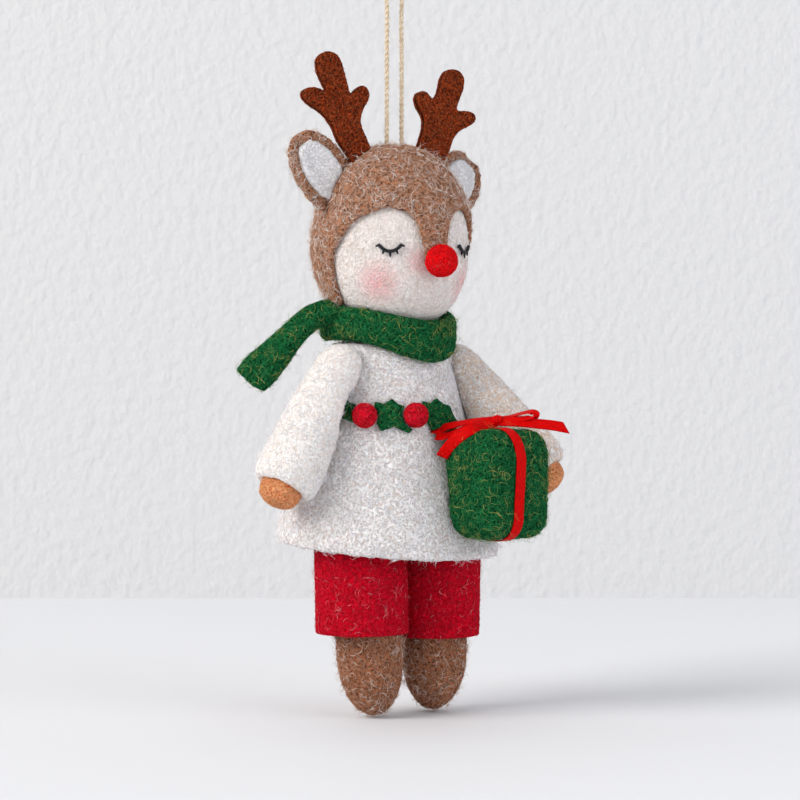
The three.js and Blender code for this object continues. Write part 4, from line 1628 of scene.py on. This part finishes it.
TAN = WoolFelt(
    "tan_wool",
    slot="tan_wool",
    wool=colour(0xF2A874),
    hollow=colour(0xC4763F),
    fleck=colour(0xC8421C),
    lint=colour(0xDDA67C),
    fibres=stops((0.0, 0xC88452), (0.7, 0xDDA67C), (1.0, 0xEFD3B8)),
    fleck_share=1.0,
    lint_share=0.2,
    gloss=0.05,
    grain=1.15,
)
LAVENDER = WoolFelt(
    "ear_felt",
    slot="ear_felt",
    wool=colour(0xFCFAFB),
    hollow=colour(0xDAD6DA),
    fleck=colour(0xFAFAFC),
    lint=colour(0xFFFFFF),
    fibres=stops((0.0, 0xF0EEF2), (1.0, 0xFFFFFF)),
    lint_share=0.3,
    grain=1.4,
)


@dataclass(frozen=True)
class Satin(Finish):
    """Bright satin ribbon, whose warp threads run along it, with streaks of painted shade for its sheen,
    with sizes in millimetres.
    """

    name: str = "satin"
    slot: str = "satin"
    red: Rgba = colour(0xDC0404)
    # The darker red of the streaks, painted shade of the satin's uneven sheen.
    shade_streak_red: Rgba = colour(0xA80202)
    warp: float = 0.22
    streak_scale: float = 0.7
    streak_squeeze: float = 5.0
    shade_streak_from: float = 0.35
    deep_to: float = 0.7
    thread_tone: float = 0.12
    thread_height: float = 0.4
    relief: float = 0.04

    def surface(self) -> bpy.types.Material:
        """Makes the material, which reads where a point lies across and along the ribbon.

        Returns:
            The material.
        """
        graph = ShaderGraph(self.name)
        across = graph.attribute("across")
        squeezed = graph.math("MULTIPLY", across, self.streak_squeeze)
        place = graph.add("ShaderNodeCombineXYZ", {0: squeezed, 1: graph.attribute("along")}).outputs[0]
        threads = graph.math("SINE", graph.math("MULTIPLY", across, TURN / self.warp))
        streaks = graph.noise(place, self.streak_scale, 3.0)
        share = graph.math("ADD", graph.math("MULTIPLY", threads, self.thread_tone), streaks)
        # The streaks mix in painted shade: darker red along the ribbon, for the satin's sheen.
        tone = graph.mix(graph.remap(share, self.shade_streak_from, self.deep_to), self.red, self.shade_streak_red)
        graph.set(Base_Color=tone, Roughness=0.45, Specular_IOR_Level=0.04)
        height = graph.math("ADD", graph.math("MULTIPLY", threads, self.thread_height), streaks)
        graph.bump(height, self.relief)
        return graph.material


@dataclass(frozen=True)
class Thread(Finish):
    """Black stitching thread."""

    name: str = "black_thread"
    slot: str = "black_thread"
    black: Rgba = colour(0x0C0E12)
    worn: Rgba = colour(0x20242B)
    spots: Speckle = Speckle(scale=3.0, detail=2.0, start=0.45, full=0.7)
    fuzz_scale: float = 6.0
    relief: float = 0.05

    def surface(self) -> bpy.types.Material:
        """Makes the thread's material.

        Returns:
            The material.
        """
        graph = ShaderGraph(self.name)
        at = graph.place()
        tone = graph.mix(self.spots.draw(graph, at), self.black, self.worn)
        graph.set(Base_Color=tone, Roughness=0.6, Specular_IOR_Level=0.3)
        graph.bump(graph.noise(at, self.fuzz_scale, 2.0), self.relief)
        return graph.material


LONG = Nap()
SHORT = Nap(
    per_square=0.9,
    shortest=0.9,
    longest=2.0,
    thickness=0.085,
    curl=3.8,
    wander=1.1,
    lift=0.08,
    stray_share=0.2,
    stray_lift=0.7,
    points=5,
)
FINE = Nap(
    per_square=2.4,
    shortest=0.7,
    longest=1.5,
    thickness=0.06,
    curl=3.0,
    wander=0.8,
    lift=0.04,
    stray_share=0.2,
    stray_lift=0.4,
    points=5,
)
HALO = Nap(
    per_square=0.26,
    shortest=1.6,
    longest=3.8,
    thickness=0.055,
    curl=3.4,
    wander=2.0,
    lift=0.2,
    stray_share=1.0,
    stray_lift=1.7,
    points=6,
)
SHAGGY = (LONG, SHORT, HALO)
CURLY = (replace(LONG, per_square=0.8, thickness=0.08, stray_lift=0.8), SHORT, HALO)

PLUMP = Skin()
THIN = Skin(voxel=0.4, evened=2, lump_size=3.0, lump_height=0.06, nub_height=0.05)
RIM = Skin(voxel=0.35, evened=20, fullness=0.5, lump_size=3.0, lump_height=0.0, nub_height=0.05)
CRISP = Skin(voxel=0.3, evened=1, lump_size=3.0, lump_height=0.05, nub_height=0.04)


class Side(Enum):
    """The doll's own sides."""

    RIGHT = "right"
    LEFT = "left"

    @property
    def sign(self) -> int:
        """The side's sign on the X axis."""
        return -1 if self is Side.RIGHT else 1


@dataclass
class Head:
    """The egg of the face in its hood, with the nose and the closed eyes, in millimetres.

    Bearings are degrees from the nose to the doll's left, and drops are below the face's widest part.
    """

    radius: float = 18.8
    forward: float = -0.6
    turn: float = -5.5
    widest: float = -73.4
    cheek_bearing: float = 46.5
    cheek_drop: float = 9.2
    cheek_radius: float = 8.4
    cheek_strength: float = 0.74
    glow_bearing: float = -12.0
    glow_drop: float = 3.4
    glow_radius: float = 5.5
    glow_strength: float = 0.5
    face_skin: Skin = replace(PLUMP, fullness=0.1, lump_height=0.1, nub_height=0.04)
    face_naps: tuple[Nap, ...] = (
        replace(SHORT, stray_lift=0.4),
        replace(LONG, per_square=0.6, thickness=0.09, lift=0.1, stray_lift=0.6, points=6),
    )
    hood_skin: Skin = replace(PLUMP, fullness=0.3, lump_height=0.1)
    hood_naps: tuple[Nap, ...] = (LONG, replace(SHORT, per_square=0.7), HALO)

    def face_point(self, bearing: float, drop: float) -> Point:
        """Returns the point of the face at a bearing and a drop."""
        turn = math.radians(bearing + self.turn)
        ahead = self.forward - self.radius * math.cos(turn)
        return (self.radius * math.sin(turn), ahead, self.widest - drop)

    def felt(self) -> BlushedFelt:
        """Adds the cheeks and the glow by the nose to the face's wool.

        Returns:
            The face's own wool.
        """
        blushes = []
        for side in Side:
            cheek = self.face_point(side.sign * self.cheek_bearing, self.cheek_drop)
            blushes.append(Blush(cheek, self.cheek_radius, self.cheek_strength))
        glow = self.face_point(self.glow_bearing, self.glow_drop)
        blushes.append(Blush(glow, self.glow_radius, self.glow_strength))
        return replace(CREAM, blushes=tuple(blushes))

    def build(self, shop: Workshop) -> None:
        """Makes the face, the hood, the nose and the eyes.

        Args:
            shop: The workshop that makes the pieces.
        """
        shop.dress("head", Body.DOLL, self.felt(), self.face_skin, self.face_naps)
        shop.dress("hood", Body.DOLL, BROWN, self.hood_skin, self.hood_naps)
        shop.dress("nose", Body.DOLL, SCARLET, THIN, (FINE,))
        for side in Side:
            shop.plain(f"{side.value}_eye_stitch", Body.DOLL, Thread())


@dataclass
class Ears:
    """The two cupped ears with their linings."""

    rim: Skin = RIM
    lining: Skin = replace(THIN, fullness=0.45)

    def build(self, shop: Workshop) -> None:
        """Makes both ears.

        Args:
            shop: The workshop that makes the pieces.
        """
        for side in Side:
            name = side.value
            shop.dress(f"{name}_ear", Body.DOLL, BROWN, self.rim, SHAGGY)
            shop.dress(f"{name}_ear_lining", Body.DOLL, LAVENDER, self.lining, (FINE,))


@dataclass
class Antlers:
    """The two antlers, each of two sheets of rust felt with a dark seam round its edge.

    The seam's half width and the width over which it fades are in millimetres. It shows where the
    surface faces sideways, with less than edge_share of its normal square to the sheets.
    """

    seam_half: float = 0.16
    seam_soft: float = 0.2
    edge_share: float = 0.6

    def mark_seam(self, piece: bpy.types.Object) -> None:
        """Stores how near each point of the edge is to the seam between the two sheets.

        Args:
            piece: The antler.
        """
        points = points_of(piece)
        normals = np.array([v.normal for v in piece.data.vertices])
        _, _, axes = np.linalg.svd(points - points.mean(axis=0), full_matrices=False)
        depths = points @ axes[2]
        depths -= (depths.min() + depths.max()) / 2
        near = np.clip((self.seam_half + self.seam_soft - np.abs(depths)) / self.seam_soft, 0.0, 1.0)
        store_marks(piece.data, "seam", near * (np.abs(normals @ axes[2]) < self.edge_share))

    def build(self, shop: Workshop) -> None:
        """Makes both antlers.

        Args:
            shop: The workshop that makes the pieces.
        """
        for side in Side:
            piece = shop.dress(f"{side.value}_antler", Body.DOLL, RUST, CRISP, (FINE,))
            self.mark_seam(piece)


@dataclass
class Torso:
    """The stuffed core in its tunic, with the garland of holly on the waist."""

    leaves: int = 3
    berries: int = 2
    first_leaf_share: float = 0.72
    core_skin: Skin = replace(PLUMP, voxel=1.4)
    tunic_skin: Skin = replace(PLUMP, voxel=0.8)
    tunic_naps: tuple[Nap, ...] = (
        replace(LONG, per_square=0.58, thickness=0.13),
        replace(SHORT, per_square=0.5),
        HALO,
    )

    def shortened(self, shop: Workshop, node: str) -> bpy.types.Object:
        """Copies a leaf with its lower end drawn up.

        Args:
            shop: The workshop.
            node: The leaf.

        Returns:
            The copy.
        """
        source = shop.cast(node)
        points = points_of(source)
        top = points[:, 2].max()
        points[:, 2] = top - (top - points[:, 2]) * self.first_leaf_share
        move_points(source, points)
        return source

    def build(self, shop: Workshop) -> None:
        """Makes the core, the tunic, the leaves and the berries.

        Args:
            shop: The workshop that makes the pieces.
        """
        shop.dress("torso_core", Body.DOLL, UNDYED, self.core_skin)
        shop.dress("tunic", Body.DOLL, WHITE, self.tunic_skin, self.tunic_naps)
        for number in range(1, self.leaves + 1):
            node = f"holly_leaf_{number}"
            source = self.shortened(shop, node) if number == 1 else None
            shop.dress(node, Body.DOLL, GREEN, CRISP, (SHORT,), source)
        for number in range(1, self.berries + 1):
            shop.dress(f"berry_{number}", Body.DOLL, CRIMSON, THIN, (FINE,))


@dataclass
class Scarf:
    """The green scarf: the band round the neck and its loose tail, in millimetres.

    The tail has a crease along it. Each of its stations gives the upper edge, the crease and the
    lower edge, to the right, to the front and up, as seen by someone at the doll's right front.
    """

    thickness: float = 2.6
    steps: int = 4
    tail_skin: Skin = replace(PLUMP, voxel=0.45, evened=5, fullness=0.25, lump_height=0.15)

    TAIL = (
        ((-13.0, 6.9, -87.0), (-13.0, 8.9, -89.5), (-13.4, 6.9, -92.1)),
        ((-16.5, 7.2, -86.1), (-15.3, 9.5, -89.0), (-15.9, 7.5, -92.5)),
        ((-20.1, 7.5, -87.0), (-18.4, 10.1, -90.3), (-18.5, 8.1, -92.6)),
        ((-23.2, 7.9, -88.9), (-21.6, 10.6, -92.9), (-20.8, 8.7, -94.4)),
        ((-26.7, 8.2, -91.9), (-24.1, 11.2, -95.2), (-23.2, 9.3, -97.1)),
        ((-30.3, 8.5, -95.2), (-26.6, 11.8, -98.4), (-25.3, 9.9, -100.1)),
        ((-33.8, 8.8, -98.2), (-29.1, 12.4, -101.9), (-27.6, 10.5, -103.5)),
        ((-36.7, 9.1, -100.7), (-31.4, 12.9, -105.0), (-30.1, 11.1, -106.6)),
        ((-38.8, 9.4, -103.3), (-34.3, 13.5, -107.1), (-32.0, 11.7, -108.2)),
    )

    def tail(self) -> bpy.types.Object:
        """Makes the plain shape of the creased tail.

        Returns:
            A closed strip whose back is a copy of its front.
        """
        frame = seen_from(RIGHT_FRONT)
        edges = [through(edge, self.steps) @ frame for edge in np.array(self.TAIL).transpose(1, 0, 2)]
        back = frame[1] * -self.thickness
        rings = [[*group, *(point + back for point in reversed(group))] for group in zip(*edges)]
        faces = shell_faces(len(rings), len(rings[0]))
        made = mesh_object("scarf_tail_shape", np.array(rings).reshape(-1, 3), faces)
        with edited(made.data) as work:
            bmesh.ops.recalc_face_normals(work, faces=work.faces)
        return made

    def build(self, shop: Workshop) -> None:
        """Makes the band and the tail."""
        shop.dress("scarf_wrap", Body.DOLL, GREEN, PLUMP, CURLY)
        shop.dress("scarf_tail", Body.SCARF_TAIL, GREEN, self.tail_skin, CURLY, self.tail())


@dataclass
class Arm:
    """A sleeve with its hand. The right arm swings on a stitch, and the left one is sewn on."""

    side: Side
    skin: Skin = replace(PLUMP, voxel=0.7, evened=36, fullness=0.4, lump_height=0.12)
    naps: tuple[Nap, ...] = (replace(LONG, per_square=0.5, thickness=0.075), SHORT, HALO)

    def build(self, shop: Workshop) -> None:
        """Makes the sleeve and the hand, and the stitch of the arm that swings.

        Args:
            shop: The workshop that makes the pieces.
        """
        swings = self.side is Side.RIGHT
        body = Body.RIGHT_ARM if swings else Body.DOLL
        name = self.side.value
        # The left sleeve takes SHADED, whose darker, warmer wool is painted shade.
        shop.dress(f"{name}_sleeve", body, BLEACHED if swings else SHADED, self.skin, self.naps)
        shop.dress(f"{name}_hand", body, TAN, THIN, (FINE,))
        if swings:
            shop.plain("right_shoulder_stitch", Body.DOLL, UNDYED)


@dataclass
class Leg:
    """A leg in its trouser leg, with the stitch that it hangs on."""

    side: Side
    trouser_skin: Skin = Skin(voxel=0.48, evened=1, lump_size=5.0, lump_height=0.12, nub_height=0.05)
    trouser_naps: tuple[Nap, ...] = (
        replace(LONG, per_square=0.12, longest=6.0, thickness=0.07),
        replace(SHORT, per_square=0.75),
    )

    def build(self, shop: Workshop) -> None:
        """Makes the leg, the trouser leg and the stitch.

        Args:
            shop: The workshop that makes the pieces.
        """
        body = Body.RIGHT_LEG if self.side is Side.RIGHT else Body.LEFT_LEG
        name = self.side.value
        shop.dress(f"{name}_leg", body, DUSKY, PLUMP, SHAGGY)
        shop.dress(f"{name}_trouser_leg", body, RED, self.trouser_skin, self.trouser_naps)
        shop.plain(f"{name}_hip_stitch", Body.DOLL, UNDYED)


@dataclass
class Ribbon:
    """A strip of satin for one node, through stations, in millimetres.

    A station is a middle point and the direction across the strip. The slant is how far one edge runs
    ahead of the other at the strip's end.
    """

    node: str
    stations: Sequence[Station]
    width: float = 2.9
    thickness: float = 0.22
    slant: float = 0.0
    steps: int = 6
    columns: int = 6

    def rings(self) -> tuple[np.ndarray, np.ndarray]:
        """Spreads rings along the strip.

        Returns:
            The middle points and the unit directions across, with a row for each ring.
        """
        middles = through([middle for middle, _ in self.stations], self.steps)
        marks = np.linspace(0.0, 1.0, len(self.stations))
        given = np.array([across for _, across in self.stations], float)
        across = read_off(given, marks, np.linspace(0.0, 1.0, len(middles)))
        along = directions(middles)
        across -= along * (across * along).sum(axis=1)[:, None]
        return middles, across / np.linalg.norm(across, axis=1)[:, None]

    def build(self) -> bpy.types.Object:
        """Makes the strip.

        Returns:
            A closed strip, with attributes that say how far along and across each point is.
        """
        middles, across = self.rings()
        along = directions(middles)
        normals = np.cross(along, across)
        gone = travelled(middles)
        shares = np.linspace(-0.5, 0.5, self.columns + 1)
        loop = [(share, 0.5) for share in shares] + [(share, -0.5) for share in reversed(shares)]
        points, places, offsets = [], [], []
        for i, middle in enumerate(middles):
            end = self.slant * gone[i] / gone[-1]
            for share, side in loop:
                slid = middle + across[i] * (share * self.width) + along[i] * (share * end)
                points.append(slid + normals[i] * (side * self.thickness))
                places.append(gone[i] + share * end)
                offsets.append(share * self.width)
        faces = shell_faces(len(middles), len(loop))
        piece = mesh_object(f"{self.node}_satin", np.array(points), faces)
        store_marks(piece.data, "along", places)
        store_marks(piece.data, "across", offsets)
        return piece


@dataclass
class Knot:
    """The bow's knot, a small wrapped lump with folds across it, in millimetres.

    Its length runs to the right as seen by someone who faces the doll's right front.
    """

    half_length: float = 1.15
    depth: float = 1.35
    height: float = 1.4
    pinch: float = 0.45
    fold: float = 0.1
    fold_turn: float = 9.0
    forward: float = 0.9
    drop: float = 0.1
    rings: int = 15
    sides: int = 18

    def shape(self) -> np.ndarray:
        """Returns the points to the right, to the front and up from the knot's middle."""
        points = []
        for i in range(self.rings):
            share = 2.0 * i / (self.rings - 1) - 1.0
            folds = 1.0 + self.fold * math.cos(share * self.fold_turn)
            girth = (1.0 - abs(share) ** 3 * self.pinch) * folds
            for j in range(self.sides):
                turn = TURN * j / self.sides
                front = girth * self.depth * math.cos(turn)
                points.append((share * self.half_length, front, girth * self.height * math.sin(turn)))
        return np.array(points)

    def build(self, middle: np.ndarray) -> bpy.types.Object:
        """Makes the knot.

        Args:
            middle: The place where the bow's strips meet.

        Returns:
            The knot, with the attributes that the satin reads.
        """
        points = self.shape()
        ahead = (points + (0.0, self.forward, 0.0)) @ seen_from(RIGHT_FRONT)
        placed = middle - (0.0, 0.0, self.drop) + ahead
        piece = mesh_object("bow_knot_satin", placed, shell_faces(self.rings, self.sides))
        store_marks(piece.data, "along", points[:, 1])
        store_marks(piece.data, "across", points[:, 0])
        return piece


@dataclass
class Band:
    """The band of ribbon over the gift's top, down its front and under it, in millimetres.

    It is laid where rays towards the box's middle meet the box. Their angles are in degrees over the
    front. The band leans towards the knot on the box's top and drifts aside on the way down.
    """

    first_angle: int = 80
    last_angle: int = -90
    angle_step: int = 6
    ray: float = 50.0
    rise: float = 0.4
    aside: float = -0.45
    lean: float = 2.6
    lean_share: float = 0.32
    drift: float = 2.0
    drift_curve: float = 1.5
    steps: int = 2

    def station(self, degrees: int, middle: np.ndarray, knot: np.ndarray, box: BVHTree) -> Station:
        """Finds where the band lies on the box at one angle.

        Args:
            degrees: The angle over the front.
            middle: The box's middle.
            knot: The knot's middle.
            box: The felted box's surface.

        Returns:
            The band's middle point and the direction across it.
        """
        turn = math.radians(degrees)
        share = (90 - degrees) / 180
        lean = self.lean * max(0.0, 1.0 - share / self.lean_share)
        aside = knot[0] - middle[0] + self.aside - lean - self.drift * share**self.drift_curve
        towards = Vector((0.0, -math.cos(turn), math.sin(turn)))
        start = Vector((middle[0] + aside, middle[1], middle[2])) * MM
        reach = self.ray * MM
        place, normal, _, _ = box.ray_cast(start + towards * reach, -towards, reach)
        point = np.array(place) / MM + np.array((0.0, normal.y, normal.z)) * self.rise
        return tuple(point), (1.0, 0.0, 0.0)

    def build(self, box: BVHTree, shop: Workshop) -> bpy.types.Object:
        """Lays the band.

        Args:
            box: The felted box's surface.
            shop: The workshop.

        Returns:
            The band.
        """
        middle = shop.middle("gift_box")
        knot = shop.middle("bow_knot")
        angles = range(self.first_angle, self.last_angle - 1, -self.angle_step)
        stations = [self.station(degrees, middle, knot, box) for degrees in angles]
        return Ribbon("gift_ribbon", stations, steps=self.steps).build()


LEFT_LOOP = Ribbon(
    "bow_left_loop",
    (
        ((0.3, 0.0, 0.2), (0.3, -0.8, 0.35)),
        ((3.2, -0.5, 0.8), (0.2, -0.9, 0.25)),
        ((6.4, -0.7, 1.7), (0.2, -0.9, 0.25)),
        ((8.4, -0.5, 2.0), (0.7, -0.7, 0.35)),
        ((9.3, 0.1, 1.5), (0.95, -0.4, 0.3)),
        ((8.5, 0.8, 0.8), (0.7, -0.7, 0.4)),
        ((6.4, 1.1, 0.4), (0.2, -0.85, 0.4)),
        ((3.4, 1.0, 0.2), (0.0, -0.8, 0.5)),
        ((0.4, 0.7, 0.1), (0.0, -0.8, 0.6)),
    ),
    width=2.4,
)
RIGHT_LOOP = Ribbon(
    "bow_right_loop",
    (
        ((-0.3, -0.2, 0.3), (0.0, -0.9, 0.35)),
        ((-4.4, -0.5, -0.1), (-0.1, -0.9, 0.4)),
        ((-8.6, -0.7, -0.8), (-0.1, -0.9, 0.42)),
        ((-12.0, -0.8, -1.6), (-0.3, -0.8, 0.5)),
        ((-14.3, -0.5, -2.4), (-0.55, -0.6, 0.6)),
        ((-15.0, 0.2, -3.2), (-0.6, -0.4, 0.7)),
        ((-14.2, 1.0, -3.9), (-0.4, -0.6, 0.6)),
        ((-12.0, 1.5, -3.7), (-0.1, -0.8, 0.4)),
        ((-8.8, 1.8, -2.4), (0.0, -0.8, 0.5)),
        ((-4.5, 1.4, -1.1), (0.0, -0.8, 0.5)),
        ((-0.4, 0.8, -0.3), (0.0, -0.85, 0.5)),
    ),
    width=2.6,
)
LEFT_TAIL = Ribbon(
    "bow_left_tail",
    (
        ((0.3, 1.0, -0.2), (0.0, -0.6, 0.7)),
        ((3.0, 1.9, -0.3), (0.0, -0.6, 0.75)),
        ((6.5, 2.1, -0.5), (0.0, -0.6, 0.78)),
        ((10.0, 1.9, -0.9), (0.0, -0.6, 0.76)),
        ((13.5, 1.5, -1.3), (0.0, -0.55, 0.78)),
        ((16.9, 1.0, -1.9), (0.0, -0.5, 0.8)),
    ),
    slant=-1.8,
)
RIGHT_TAIL = Ribbon(
    "bow_right_tail",
    (
        ((-0.3, 1.0, -0.4), (0.0, -0.6, 0.75)),
        ((-3.2, 2.1, -1.0), (-0.1, -0.5, 0.8)),
        ((-6.2, 2.6, -2.0), (-0.3, -0.4, 0.8)),
        ((-9.2, 2.6, -3.8), (-0.5, -0.3, 0.75)),
        ((-11.7, 2.3, -6.2), (-0.7, -0.2, 0.65)),
        ((-13.6, 2.0, -9.0), (-0.86, -0.1, 0.5)),
    ),
    slant=0.6,
)


@dataclass
class Gift:
    """The felt box with its satin ribbon and bow, in millimetres.

    The bow's stations are to the right, to the front and up from the knot, as seen by someone who
    faces the doll's right front. Past the knot they are brought forward until they clear the box.
    """

    skin: Skin = replace(PLUMP, fullness=0.25)
    satin: Satin = Satin()
    top_rise: float = 0.3
    back_rise: float = 5.0
    knot_drop: float = 0.6
    knot_reach: float = 5.5
    half_width: float = 1.3
    look: float = 20.0
    clearance: float = 0.4
    bow: tuple[Ribbon, ...] = (LEFT_LOOP, RIGHT_LOOP, LEFT_TAIL, RIGHT_TAIL)

    def sunk(self, place: np.ndarray, across: np.ndarray, box: BVHTree) -> float:
        """Says how far a piece of ribbon has to come forward to lie in front of the box.

        Args:
            place: Its middle in millimetres.
            across: The direction across it.
            box: The box's surface.

        Returns:
            The distance in millimetres, or zero.
        """
        front = seen_from(RIGHT_FRONT)[1]
        half = across / np.linalg.norm(across) * self.half_width
        sunk = 0.0
        for point in (place - half, place, place + half):
            start = Vector((point + front * self.look) * MM)
            hit, _, _, distance = box.ray_cast(start, Vector(-front), 2 * self.look * MM)
            if hit is not None:
                sunk = max(sunk, self.look - distance / MM + self.clearance)
        return sunk

    def placed(self, strip: Ribbon, knot: np.ndarray, box: BVHTree) -> Ribbon:
        """Turns a strip seen from the doll's right front into one of the model.

        Args:
            strip: The strip, with its stations from the knot.
            knot: The knot's middle.
            box: The box's surface, which the strip lies in front of.

        Returns:
            The placed strip.
        """
        frame = seen_from(RIGHT_FRONT)
        stations: list[Station] = []
        for middle, across in strip.stations:
            place = knot + np.array(middle) @ frame
            turned = np.array(across) @ frame
            if abs(middle[0]) > self.knot_reach:
                place = place + frame[1] * self.sunk(place, turned, box)
            stations.append((tuple(place), tuple(turned)))
        return replace(strip, stations=stations)

    def raised(self, shop: Workshop) -> bpy.types.Object:
        """Copies the box with its top raised, most of all at the corner by the waist.

        Args:
            shop: The workshop.

        Returns:
            The copy.
        """
        source = shop.cast("gift_box")
        points = points_of(source)
        middle = shop.middle("gift_box")
        half = (points.max(axis=0) - points.min(axis=0)) / 2
        right, front, _ = seen_from(RIGHT_FRONT)
        up = np.clip((points[:, 2] - middle[2]) / half[2], 0.0, 1.0)
        inward = np.clip((points - middle) @ -right / half[0], 0.0, 1.0)
        back = np.clip((points - middle) @ -front / half[0], 0.0, 1.0)
        points[:, 2] += up**3 * (self.top_rise + self.back_rise * inward * back)
        move_points(source, points)
        return source

    def build(self, shop: Workshop) -> None:
        """Makes the box, the bow's strips, the knot and the band.

        Args:
            shop: The workshop that makes the pieces.
        """
        felt = shop.dress("gift_box", Body.DOLL, GREEN, self.skin, CURLY, self.raised(shop))
        places = [v.co for v in felt.data.vertices]
        box = BVHTree.FromPolygons(places, [tuple(face.vertices) for face in felt.data.polygons])
        knot = shop.middle("bow_knot") - (0.0, 0.0, self.knot_drop)
        for strip in self.bow:
            shop.place(self.placed(strip, knot, box).build(), strip.node, Body.DOLL, self.satin)
        shop.place(Knot().build(knot), "bow_knot", Body.DOLL, self.satin)
        shop.place(Band().build(box, shop), "gift_ribbon", Body.DOLL, self.satin)


def main() -> None:
    """Builds the studio and the ornament."""
    logging.basicConfig(level=logging.INFO, format="%(name)s: %(message)s")
    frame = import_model()
    Studio().build()
    shop = Workshop(frame)
    parts = [Hanger(), Head(), Ears(), Antlers(), Torso(), Scarf()]
    parts += [Arm(Side.RIGHT), Arm(Side.LEFT), Leg(Side.RIGHT), Leg(Side.LEFT), Gift()]
    for part in parts:
        LOG.info("Building the %s", type(part).__name__.lower())
        part.build(shop)
    LOG.info("%d triangles in all", shop.triangles)


if __name__ == "__main__":
    main()
